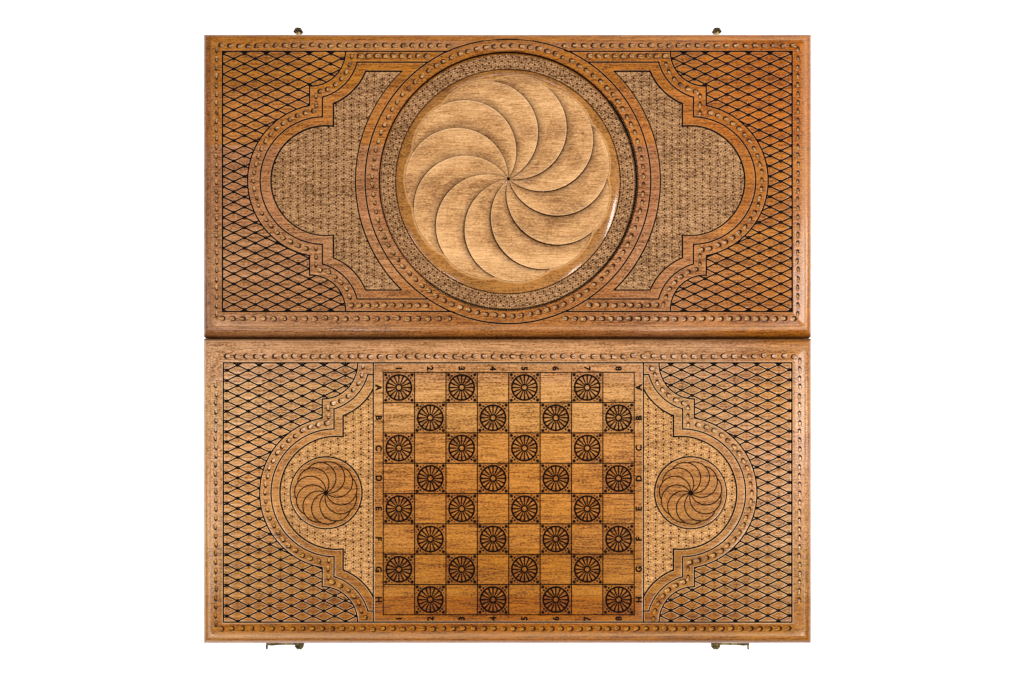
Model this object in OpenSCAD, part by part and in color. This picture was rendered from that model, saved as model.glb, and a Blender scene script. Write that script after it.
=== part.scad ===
// Folding backgammon board, opened flat with the playing sides down and the two
// carved outer faces up. X runs along the hinge line, Y across it and Z up, in mm.
// The origin lies on the floor under the middle of the hinge line. The half with
// the large whirl is on +Y, the half with the chess field on -Y.

/* [Case] */
// Length of the case along the hinge line
board_w = 600; // [560:5:640]
// Depth of each half, from the seam to its front edge
half_d = 300; // [290:5:320]
// Thickness of the carved outer panels
panel_t = 20; // [18:1:24]
// Height of the walls round each tray
wall_h = 24; // [20:1:30]
// Thickness of the walls
wall_t = 14; // [12:1:16]
// How far each panel reaches past its walls
overhang = 1; // [0.5:0.5:2]
// Half of the gap between the two panels at the seam
seam_half = 0.6; // [0.4:0.1:1]

/* [Edge moulding] */
// Radius of the rounded outer edge of each panel
round_r = 11; // [8:0.5:12]
// Height of the step behind the rounded edge
fillet_step = 1; // [0.5:0.1:1.5]
// Width of the moulding, from the panel edge to the step
mould_w = 11.4; // [11:0.1:14]
// Distance from the panel edge to the flat carved field
bead_in = 23.2; // [20:0.1:28]
// Rise of the sloping bead band between step and field
bead_rise = 2.5; // [1:0.1:3]

/* [Whirl medallion] */
// Number of curved blades in the whirl
blades = 11; // [8:1:16]
// Radius of the whirl at the tips of its blades
whirl_r = 99.7; // [90:0.1:105]
// Radius at the foot of the slope round the whirl
slope_r = 108; // [100:0.5:112]
// Outer radius of the sunk ring round the whirl
ring_r = 123.9; // [115:0.1:130]
// Depth of the sunk ring
ring_deep = 3.5; // [2:0.1:5]
// Angle of the first blade edge where it meets the rim
blade_phase = 14.2; // [0:0.1:32]
// Deepest drop between one blade and the next
blade_drop = 2.2; // [1:0.1:3]

/* [Carved grounds] */
// Depth of the sunk stippled grounds
ground_deep = 0.8; // [0.4:0.1:1.5]
// Length of one chess square along the hinge line
square_x = 30.27; // [28:0.01:32]
// Length of one chess square across the hinge line
square_y = 29.15; // [28:0.01:31]
// Width of the strip that holds the letters and numbers
label_w = 9.7; // [8:0.1:11]
// Width and depth of the cut lines
line_w = 0.8; // [0.5:0.1:1.2]

/* [Playing side] */
// Thickness of the sheet that carries the points
field_t = 3; // [2:0.5:4]
// Length of the long points, from base to tip
point_l = 184; // [150:1:200]
// Thickness of the inlaid points
point_t = 1; // [0.5:0.1:1.5]
// Width of the notched strips at the short ends
rack_w = 20; // [18:0.5:24]
// Thickness of the notched strips
rack_t = 4; // [3:0.5:6]
// Radius of the notches that hold the pieces
notch_r = 17; // [14:0.5:18]

/* [Hinges] */
// Distance of each hinge from the middle of the case
hinge_x = 190; // [150:5:230]
// Length of a hinge
hinge_l = 60; // [50:1:80]
// Reach of a hinge leaf from the pin axis
leaf_y = 13.5; // [11:0.5:14]
// Thickness of a hinge leaf
leaf_t = 1.4; // [1:0.1:1.6]
// Outer radius of the hinge knuckles
knuckle_r = 2; // [1.8:0.1:2.5]
// Radius of the hinge pins
pin_r = 1; // [0.8:0.05:1.2]

/* [Latches] */
// Distance of each latch from the middle of the case
latch_x = 209; // [180:1:240]
// Height of the stud screws above the rim
stud_up = 15.5; // [12:0.1:16]
// Height of the hook screws above the rim
pivot_up = 10.5; // [9:0.1:13]
// Reach of a latch from the outer face of its wall
latch_reach = 10.9; // [9:0.1:12]
// Thickness of the spacer under a hook
spacer_t = 4; // [1.5:0.1:4.2]

/* [Hidden] */
$fn = 64;
half_w = board_w / 2;
axis_z = knuckle_r;
rim_z = knuckle_r + 0.15;
under_z = rim_z + wall_h;
top_z = under_z + panel_t;
panel_y0 = seam_half;
panel_y1 = seam_half + half_d;
mid_y = seam_half + half_d / 2;
wall_x = half_w - overhang;
wall_y0 = panel_y0 + overhang;
wall_y1 = panel_y1 - overhang;
tray_x = wall_x - wall_t;
tray_y0 = wall_y0 + wall_t;
tray_y1 = wall_y1 - wall_t;
field_z = under_z - field_t;
rack_z = field_z - rack_t;
pitch_y = (tray_y1 - tray_y0) / 6;
stud_z = rim_z + stud_up;
pivot_z = rim_z + pivot_up;
hook_l = stud_z + pivot_z - 2 * axis_z;
edge_v = panel_t - bead_rise - fillet_step - round_r;
chess_x = 4 * square_x;
chess_y = 4 * square_y;
blade_step = 360 / blades;
walnut = "#5a3420";
ash = "#c98a4b";
pale = "#dcb27a";
brass = "#b08a4a";

// Box between two corners.
module slab(x0, x1, y0, y1, z0, z1) {
    translate([x0, y0, z0]) cube([x1 - x0, y1 - y0, z1 - z0]);
}

// Cylinder along +Y that starts at y.
module rod(x, y, z, r, h) {
    translate([x, y, z]) rotate([-90, 0, 0]) cylinder(r = r, h = h);
}

// The chess half is the whirl half turned half round the Z axis.
module turned_half() {
    rotate([0, 0, 180]) children();
}

// Section of a panel: upright edge, quarter round, small step, sloping bead band
// and the flat field.
function panel_side(h) = concat(
    [[h, 0]],
    [for (a = [0 : 11.25 : 90])
        [h - round_r + round_r * cos(a), edge_v + round_r * sin(a)]],
    [[h - mould_w, edge_v + round_r], [h - mould_w, edge_v + round_r + fillet_step],
     [h - bead_in, panel_t]]);
function mirrored(p) = [for (i = [len(p) - 1 : -1 : 0]) [-p[i][0], p[i][1]]];
function panel_section(h) = concat(panel_side(h), mirrored(panel_side(h)));

// Solid panel with its moulded edge, mitred at the corners.
module panel_blank() {
    translate([0, mid_y, under_z]) intersection() {
        rotate([90, 0, 0]) linear_extrude(half_d + 2, center = true)
            polygon(panel_section(half_w));
        rotate([90, 0, 90]) linear_extrude(board_w + 2, center = true)
            polygon(panel_section(half_d / 2));
    }
}

// Rectangular line cut round the carved field of a panel.
module border_line() {
    translate([0, mid_y, top_z - line_w]) linear_extrude(line_w + 1) difference() {
        square([board_w - 2 * bead_in - 1, half_d - 2 * bead_in - 1], center = true);
        square([board_w - 2 * bead_in - 1 - 2 * line_w,
                half_d - 2 * bead_in - 1 - 2 * line_w], center = true);
    }
}

// Height of the whirl below the panel top: high at a blade's own edge, low where
// the next blade's edge stands over it.
function blade_low(r) = blade_drop * sin(18 + 132 * r / whirl_r);
function relief(r, u) = -0.3 - 0.7 * pow(r / whirl_r, 2) - blade_low(r) * pow(u, 1.3);

// A blade edge is an arc of half the whirl's radius that passes through its centre.
function blade_point(i, u, t) = let (
    r = whirl_r * cos(u * blade_step / 2) * t,
    a = blade_phase + (i + u) * blade_step - acos(r / whirl_r))
    [r * cos(a), r * sin(a), relief(r, u)];

// The whirl and the slope round it, as one closed body set into the panel.
module whirl() {
    us = [0, 0.3, 0.65, 0.93];
    ts = [0.04, 0.14, 0.3, 0.46, 0.62, 0.78, 0.9, 1];
    n = blades * len(us);
    m = len(ts);
    foot = slope_r + 2;
    rings = [for (t = ts) [for (i = [0 : blades - 1], u = us) blade_point(i, u, t)]];
    slope = [for (p = rings[m - 1]) let (a = atan2(p[1], p[0]))
        [foot * cos(a), foot * sin(a), -ring_deep - 0.7]];
    base = [for (p = slope) [p[0], p[1], -ring_deep - 2]];
    pts = concat([for (r = rings, p = r) p], slope, base,
                 [[0, 0, -0.4], [0, 0, -ring_deep - 2]]);
    top_c = n * (m + 2);
    function v(j, c) = j * n + c % n;
    faces = concat(
        [for (c = [0 : n - 1]) [top_c, v(0, c + 1), v(0, c)]],
        [for (j = [0 : m], c = [0 : n - 1]) [v(j, c), v(j, c + 1), v(j + 1, c + 1)]],
        [for (j = [0 : m], c = [0 : n - 1]) [v(j, c), v(j + 1, c + 1), v(j + 1, c)]],
        [for (c = [0 : n - 1]) [top_c + 1, v(m + 1, c), v(m + 1, c + 1)]]);
    translate([0, mid_y, top_z]) polyhedron(pts, faces);
}

// Outline of the sunk ground beside the medallion.
module whirl_ground() {
    difference() {
        union() {
            translate([173.3, 0]) circle(55.7);
            translate([0, -107]) square([168.3, 214]);
        }
        circle(146.7);
        for (s = [-1, 1]) translate([190.3, s * 126.4]) circle(54.5);
    }
}

// Outline of the sunk ground beside the chess field, with the small rosette left.
module chess_ground() {
    difference() {
        union() {
            translate([167.5, 0]) circle(54);
            translate([chess_x + label_w, -118])
                square([159.7 - chess_x - label_w, 236]);
        }
        translate([0, -150]) square([chess_x + label_w, 300]);
        for (s = [-1, 1]) translate([178.7, s * 125]) circle(53);
        translate([177, 0]) circle(34.5);
    }
}

// Both sides of a panel get the same ground, one of them mirrored by a half turn.
module sunk_grounds() {
    translate([0, mid_y, top_z - ground_deep]) linear_extrude(ground_deep + 1)
        for (a = [0, 180]) rotate(a) children();
}

module whirl_panel() {
    color(ash) union() {
        difference() {
            panel_blank();
            translate([0, mid_y, top_z - ring_deep])
                cylinder(r = ring_r, h = ring_deep + 1, $fn = 128);
            sunk_grounds() whirl_ground();
            border_line();
        }
        whirl();
    }
}

// Lines between the chess squares.
module chess_lines() {
    z = top_z - line_w;
    for (i = [-4 : 4]) {
        slab(i * square_x - line_w / 2, i * square_x + line_w / 2,
             mid_y - chess_y - line_w / 2, mid_y + chess_y + line_w / 2, z, top_z + 1);
        slab(-chess_x - line_w / 2, chess_x + line_w / 2,
             mid_y + i * square_y - line_w / 2, mid_y + i * square_y + line_w / 2,
             z, top_z + 1);
    }
}

module chess_panel() {
    color(ash) turned_half() difference() {
        panel_blank();
        sunk_grounds() chess_ground();
        border_line();
        chess_lines();
    }
}

// Front wall. Its ends are cut as fingers that lock into the side walls, and it has
// the holes for the latch screws at the given height.
module front_wall(hole_z) {
    band = wall_h / 4;
    difference() {
        slab(-wall_x, wall_x, wall_y1 - wall_t, wall_y1, rim_z, under_z);
        for (s = [-1, 1], k = [1, 3]) translate([s * (wall_x - wall_t / 2), 0, 0])
            slab(-wall_t / 2, wall_t / 2, wall_y1 - wall_t - 1, wall_y1 + 1,
                 rim_z + k * band, rim_z + (k + 1) * band);
        for (s = [-1, 1]) rod(s * latch_x, wall_y1 - 10.5, hole_z, 1.55, 12);
    }
}

// Wall at the hinge line, with the sunk beds of the hinge leaves and screw holes.
module spine_wall() {
    band = wall_h / 4;
    difference() {
        slab(-wall_x, wall_x, wall_y0, wall_y0 + wall_t, rim_z, under_z);
        for (s = [-1, 1], k = [1, 3]) translate([s * (wall_x - wall_t / 2), 0, 0])
            slab(-wall_t / 2, wall_t / 2, wall_y0 - 1, wall_y0 + wall_t + 1,
                 rim_z + k * band, rim_z + (k + 1) * band);
        for (s = [-1, 1]) translate([s * hinge_x, 0, 0]) {
            slab(-hinge_l / 2 - 0.2, hinge_l / 2 + 0.2, 0, leaf_y + 0.2,
                 rim_z - 1, rim_z + leaf_t + 0.05);
            slab(-hinge_l / 2 - 0.2, hinge_l / 2 + 0.2, 0, knuckle_r + 0.4,
                 rim_z - 1, axis_z + knuckle_r + 0.3);
            for (k = [-1 : 1]) translate([k * hinge_l / 3, 8.5, rim_z - 1])
                cylinder(r = 1.35, h = 12.7);
        }
    }
}

// Side wall on +X, with the other set of fingers.
module side_wall() {
    band = wall_h / 4;
    difference() {
        slab(wall_x - wall_t, wall_x, wall_y0, wall_y1, rim_z, under_z);
        for (k = [0, 2]) {
            slab(wall_x - wall_t - 1, wall_x + 1, wall_y0 - 1, wall_y0 + wall_t,
                 rim_z + k * band, rim_z + (k + 1) * band);
            slab(wall_x - wall_t - 1, wall_x + 1, wall_y1 - wall_t, wall_y1 + 1,
                 rim_z + k * band, rim_z + (k + 1) * band);
        }
    }
}

// One long point with its base at the +X end, in plan.
module point_2d(grow) {
    base_x = tray_x - rack_w - 3;
    polygon([[base_x + grow, -15 - grow], [base_x + grow, 15 + grow],
             [base_x - point_l - 2 * grow, 0]]);
}

// Six of the twelve points of one half. The dark and the light ones take turns.
module points_2d(first, grow) {
    for (k = [0 : 5]) translate([0, tray_y0 + (k + 0.5) * pitch_y])
        rotate((k + first) % 2 == 0 ? 0 : 180) point_2d(grow);
}

module points(first) {
    translate([0, 0, field_z]) linear_extrude(point_t) points_2d(first, 0);
}

// Sheet under the panel that carries the points, with a pocket for each.
module field() {
    difference() {
        slab(-tray_x + 0.25, tray_x - 0.25, tray_y0 + 0.25, tray_y1 - 0.25,
             field_z, under_z);
        for (f = [0, 1]) translate([0, 0, field_z - 1])
            linear_extrude(point_t + 1.02) points_2d(f, 0.05);
    }
}

// Notched strip at the +X end that keeps the pieces in line.
module rack() {
    difference() {
        slab(tray_x - rack_w, tray_x, tray_y0, tray_y1, rack_z, field_z);
        for (k = [0 : 5]) translate([tray_x - rack_w, tray_y0 + (k + 0.5) * pitch_y,
                                     rack_z - 1]) cylinder(r = notch_r, h = rack_t + 2);
    }
}

// One knuckle of a hinge with the tongue that joins it to its leaf.
module knuckle(k, bore) {
    len = hinge_l / 5;
    x0 = -hinge_l / 2 + k * len + 0.1;
    difference() {
        union() {
            translate([x0, 0, axis_z]) rotate([0, 90, 0])
                cylinder(r = knuckle_r, h = len - 0.2);
            slab(x0, x0 + len - 0.2, 0, knuckle_r + 0.5, rim_z, rim_z + leaf_t);
        }
        translate([x0 - 1, 0, axis_z]) rotate([0, 90, 0]) cylinder(r = bore, h = len + 2);
    }
}

// Hinge leaf with countersunk holes.
module leaf(knuckles, bore) {
    difference() {
        slab(-hinge_l / 2, hinge_l / 2, knuckle_r + 0.25, leaf_y, rim_z, rim_z + leaf_t);
        for (k = [-1 : 1]) translate([k * hinge_l / 3, 8.5, rim_z]) {
            cylinder(r1 = 2.65, r2 = 1.35, h = 1.3);
            translate([0, 0, -1]) cylinder(r = 1.35, h = leaf_t + 2);
        }
    }
    for (k = knuckles) knuckle(k, bore);
}

// Slotted countersunk screw, head down.
module leaf_screw() {
    difference() {
        union() {
            cylinder(r1 = 2.6, r2 = 1.3, h = 1.3);
            translate([0, 0, 1.3]) cylinder(r = 1.3, h = 9.7);
        }
        translate([-3, -0.25, -1]) cube([6, 0.5, 1.5]);
    }
}

module leaf_screws() {
    for (s = [-1, 1], k = [-1 : 1])
        translate([s * hinge_x + k * hinge_l / 3, 8.5, rim_z]) leaf_screw();
}

// Pins of both hinges.
module hinge_pins() {
    color(brass) for (s = [-1, 1]) translate([s * hinge_x - hinge_l / 2, 0, axis_z])
        rotate([0, 90, 0]) cylinder(r = pin_r, h = hinge_l);
}

// Mushroom stud that a hook drops over, screwed into the front wall.
module latch_stud(x) {
    y = wall_y1;
    color(brass) {
        rod(x, y - 10, stud_z, 1.5, 10.5);
        rod(x, y, stud_z, 4, 1);
        rod(x, y + 0.5, stud_z, 2, 7);
        translate([x, y + 7, stud_z]) rotate([-90, 0, 0]) {
            cylinder(r1 = 4.3, r2 = 4.95, h = 0.8);
            translate([0, 0, 0.8]) cylinder(r1 = 4.95, r2 = 3.4, h = latch_reach - 7.8);
        }
    }
}

// Screw that a hook swings on, with a domed slotted head.
module hook_pivot(x) {
    y = wall_y1;
    color(brass) turned_half() difference() {
        union() {
            rod(x, y - 10, pivot_z, 1.5, 10.5);
            rod(x, y, pivot_z, 2, spacer_t + 2.4);
            rod(x, y + spacer_t + 2.2, pivot_z, 4.5, 2.2);
            translate([x, y + spacer_t + 4.4, pivot_z]) rotate([-90, 0, 0])
                cylinder(r1 = 4.5, r2 = 2.6, h = latch_reach - spacer_t - 4.4);
        }
        slab(x - 0.5, x + 0.5, y + latch_reach - 1.2, y + latch_reach + 1,
             pivot_z - 6, pivot_z + 6);
    }
}

module hook_washer(x) {
    color(brass) turned_half() difference() {
        rod(x, wall_y1, pivot_z, 4.5, spacer_t);
        rod(x, wall_y1 - 1, pivot_z, 2.05, spacer_t + 2);
    }
}

// Flat hook in plan: eye at the origin, arm along +X, ring open on its -Y side.
module hook_2d() {
    difference() {
        union() {
            circle(5);
            translate([0, -2.6]) square([hook_l - 3, 5.2]);
            translate([hook_l, 0]) circle(6);
            translate([hook_l + 3, -2]) square([4, 4]);
        }
        circle(2.05);
        translate([hook_l, 0]) circle(2.4);
        translate([hook_l - 3.4, -8]) square([5.8, 8]);
    }
}

// Hook lying along the front edge of the chess half and pointing away from the
// middle, with a finger tab turned up at its tip.
module hook(s) {
    color(brass) translate([s * latch_x, -wall_y1 - spacer_t, pivot_z])
        mirror([s < 0 ? 1 : 0, 0, 0]) {
            translate([0, -0.1, 0]) rotate([90, 0, 0]) linear_extrude(2) hook_2d();
            slab(hook_l + 5.6, hook_l + 7, -latch_reach + spacer_t, -0.1, -2, 2);
        }
}

whirl_panel();
whirl_front_wall();
whirl_spine_wall();
whirl_left_wall();
whirl_right_wall();
whirl_field();
whirl_dark_points();
whirl_light_points();
whirl_left_rack();
whirl_right_rack();
left_latch_stud();
right_latch_stud();
left_hinge_whirl_leaf();
right_hinge_whirl_leaf();
hinge_pins();
whirl_hinge_screws();
chess_panel();
chess_front_wall();
chess_spine_wall();
chess_left_wall();
chess_right_wall();
chess_field();
chess_dark_points();
chess_light_points();
chess_left_rack();
chess_right_rack();
left_hinge_chess_leaf();
right_hinge_chess_leaf();
chess_hinge_screws();
left_hook_pivot();
right_hook_pivot();
left_hook_washer();
right_hook_washer();
left_hook();
right_hook();

module whirl_front_wall() { color(ash) front_wall(stud_z); }
module whirl_spine_wall() { color(ash) spine_wall(); }
module whirl_left_wall() { color(ash) mirror([1, 0, 0]) side_wall(); }
module whirl_right_wall() { color(ash) side_wall(); }
module whirl_field() { color(pale) field(); }
module whirl_dark_points() { color(walnut) points(0); }
module whirl_light_points() { color(ash) points(1); }
module whirl_left_rack() { color(walnut) mirror([1, 0, 0]) rack(); }
module whirl_right_rack() { color(walnut) rack(); }
module left_latch_stud() { latch_stud(-latch_x); }
module right_latch_stud() { latch_stud(latch_x); }
module left_hinge_whirl_leaf() {
    color(brass) translate([-hinge_x, 0, 0]) leaf([0, 2, 4], pin_r + 0.03);
}
module right_hinge_whirl_leaf() {
    color(brass) translate([hinge_x, 0, 0]) leaf([0, 2, 4], pin_r + 0.03);
}
module whirl_hinge_screws() { color(brass) leaf_screws(); }
module chess_front_wall() { color(ash) turned_half() front_wall(pivot_z); }
module chess_spine_wall() { color(ash) turned_half() spine_wall(); }
module chess_left_wall() { color(ash) turned_half() side_wall(); }
module chess_right_wall() { color(ash) turned_half() mirror([1, 0, 0]) side_wall(); }
module chess_field() { color(pale) turned_half() field(); }
module chess_dark_points() { color(walnut) turned_half() points(0); }
module chess_light_points() { color(ash) turned_half() points(1); }
module chess_left_rack() { color(walnut) turned_half() rack(); }
module chess_right_rack() { color(walnut) turned_half() mirror([1, 0, 0]) rack(); }
module left_hinge_chess_leaf() {
    color(brass) turned_half() translate([hinge_x, 0, 0]) leaf([1, 3], pin_r + 0.05);
}
module right_hinge_chess_leaf() {
    color(brass) turned_half() translate([-hinge_x, 0, 0]) leaf([1, 3], pin_r + 0.05);
}
module chess_hinge_screws() { color(brass) turned_half() leaf_screws(); }
module left_hook_pivot() { hook_pivot(latch_x); }
module right_hook_pivot() { hook_pivot(-latch_x); }
module left_hook_washer() { hook_washer(latch_x); }
module right_hook_washer() { hook_washer(-latch_x); }
module left_hook() { hook(-1); }
module right_hook() { hook(1); }
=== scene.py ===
import math

import bpy
import numpy as np
from mathutils.geometry import delaunay_2d_cdt
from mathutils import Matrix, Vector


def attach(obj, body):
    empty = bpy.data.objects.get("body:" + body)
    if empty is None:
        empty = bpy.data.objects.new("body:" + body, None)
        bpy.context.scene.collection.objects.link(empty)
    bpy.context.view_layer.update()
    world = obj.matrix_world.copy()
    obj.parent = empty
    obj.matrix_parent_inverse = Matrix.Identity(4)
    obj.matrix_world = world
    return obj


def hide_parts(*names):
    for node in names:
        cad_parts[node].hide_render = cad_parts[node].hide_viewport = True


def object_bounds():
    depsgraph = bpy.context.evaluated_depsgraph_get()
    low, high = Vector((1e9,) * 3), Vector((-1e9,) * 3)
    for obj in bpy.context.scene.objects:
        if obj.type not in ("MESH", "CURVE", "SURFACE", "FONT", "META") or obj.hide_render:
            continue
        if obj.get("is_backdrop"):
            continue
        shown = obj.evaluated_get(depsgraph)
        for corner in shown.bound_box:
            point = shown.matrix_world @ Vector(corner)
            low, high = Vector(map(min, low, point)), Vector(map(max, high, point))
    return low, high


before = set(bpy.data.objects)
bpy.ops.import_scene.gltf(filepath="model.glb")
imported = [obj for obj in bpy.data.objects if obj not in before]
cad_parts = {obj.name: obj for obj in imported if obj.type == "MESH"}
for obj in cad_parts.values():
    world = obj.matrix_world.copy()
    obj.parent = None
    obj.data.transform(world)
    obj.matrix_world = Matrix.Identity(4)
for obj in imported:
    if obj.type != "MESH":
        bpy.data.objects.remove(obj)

cad_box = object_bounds()
scene = bpy.context.scene
MM = 0.001


# Setting: the open case lies on a white table and is seen from straight above,
# with the lens a little towards the chess half. A large soft box stands on the
# right, smaller ones stand in front and on the left, and a white surround fills in.

camera_data = bpy.data.cameras.new("camera")
camera_data.sensor_width = 36.0
camera_data.lens = 32.67
camera_data.shift_x = 0.0044
camera_data.shift_y = 0.0908
camera_data.clip_end = 20.0
camera = bpy.data.objects.new("camera", camera_data)
camera.location = (0.0, -0.0943, 0.946)
scene.collection.objects.link(camera)
scene.camera = camera
scene.view_settings.view_transform = "Standard"
scene.view_settings.look = "None"


def placed(name, data):
    """Puts a new object into the scene."""
    thing = bpy.data.objects.new(name, data)
    scene.collection.objects.link(thing)
    return thing


def linear(code):
    """An sRGB hex colour as linear red, green, blue and alpha."""
    parts = [int(code[i:i + 2], 16) / 255 for i in (1, 3, 5)]
    return tuple(p / 12.92 if p <= 0.04045 else ((p + 0.055) / 1.055) ** 2.4
                 for p in parts) + (1.0,)


def add(tree, kind, inputs=None, stops=(), **settings):
    """Adds a node. An input is a value, a colour code or the socket that feeds it. The
    stops of a colour ramp are each a place from 0 to 1 and a colour code."""
    node = tree.nodes.new(kind)
    for key, value in settings.items():
        setattr(node, key, value)
    for k, (at, tint) in enumerate(stops):
        marks = node.color_ramp.elements
        mark = marks[k] if k < 2 else marks.new(0.999)
        mark.position, mark.color = at, linear(tint)
    for key, value in (inputs or {}).items():
        if isinstance(value, bpy.types.NodeSocket):
            tree.links.new(value, node.inputs[key])
        else:
            code = isinstance(value, str) and value.startswith("#")
            node.inputs[key].default_value = linear(value) if code else value
    return node


def blank(name):
    """New material: itself, its empty tree and the place on the object."""
    material = bpy.data.materials.new(name)
    material.use_nodes = True
    tree = material.node_tree
    tree.nodes.clear()
    return material, tree, add(tree, "ShaderNodeTexCoord").outputs["Object"]


# Matt white card: it scatters all light, so the table has no gloss and no edge.
card, card_tree, card_place = blank("white_card")
card_mottle = add(card_tree, "ShaderNodeTexNoise", {"Vector": card_place, "Scale": 3.0})
card_colour = add(card_tree, "ShaderNodeMix", {
    0: card_mottle.outputs["Fac"], 6: "#f6f6f6", 7: "#fafafa"}, data_type="RGBA")
card_shader = add(card_tree, "ShaderNodeBsdfPrincipled", {
    "Base Color": card_colour.outputs[2], "Roughness": 0.95,
    "Emission Color": "#ffffff", "Emission Strength": 0.7})
add(card_tree, "ShaderNodeOutputMaterial", {"Surface": card_shader.outputs[0]})

table_half, table_z = 4.0, -0.0004
table_mesh = bpy.data.meshes.new("table")
table_mesh.from_pydata([(x * table_half, y * table_half, table_z)
                        for x, y in ((-1, -1), (1, -1), (1, 1), (-1, 1))],
                       [], [(0, 1, 2, 3)])
table_mesh.materials.append(card)
table = placed("table", table_mesh)
table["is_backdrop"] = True


def soft_box(name, place, size, power):
    """Soft light aimed at the middle of the case."""
    lamp = bpy.data.lights.new(name, "AREA")
    lamp.shape = "RECTANGLE"
    lamp.size, lamp.size_y = size
    lamp.energy = power
    box = placed(name, lamp)
    box.location = place
    box.rotation_euler = (-box.location).to_track_quat("-Z", "Y").to_euler()


soft_box("key_right", (1.33, 0.12, 1.35), (0.6, 0.35), 30)
soft_box("front_right", (0.74, -0.52, 1.3), (0.22, 0.22), 7)
soft_box("front_left", (-0.75, -0.52, 1.3), (0.3, 0.2), 7)
soft_box("side_left", (-1.35, -0.3, 1.3), (0.5, 0.3), 9)
soft_box("back", (0.0, 1.5, 1.3), (1.2, 0.3), 9)

surround = bpy.data.worlds.new("white_surround")
scene.world = surround
surround.use_nodes = True
sky = surround.node_tree.nodes["Background"].inputs
sky["Color"].default_value = linear("#ffffff")
sky["Strength"].default_value = 0.32


# Tray walls: planed hardwood boards joined with fingers at the corners and glued
# under the carved panels. Their grain runs along each board, under satin varnish.

case_half = 301.0  # mm: the tables of tints reach from -case_half to case_half


def surfaced(tree, height, strength, depth, inputs):
    """Last nodes of a finish: its shader, with a fine relief so many metres deep."""
    bump = add(tree, "ShaderNodeBump", {
        "Strength": strength, "Distance": depth, "Height": height})
    shader = add(tree, "ShaderNodeBsdfPrincipled", dict(inputs, Normal=bump.outputs[0]))
    add(tree, "ShaderNodeOutputMaterial", {"Surface": shader.outputs[0]})


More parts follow.
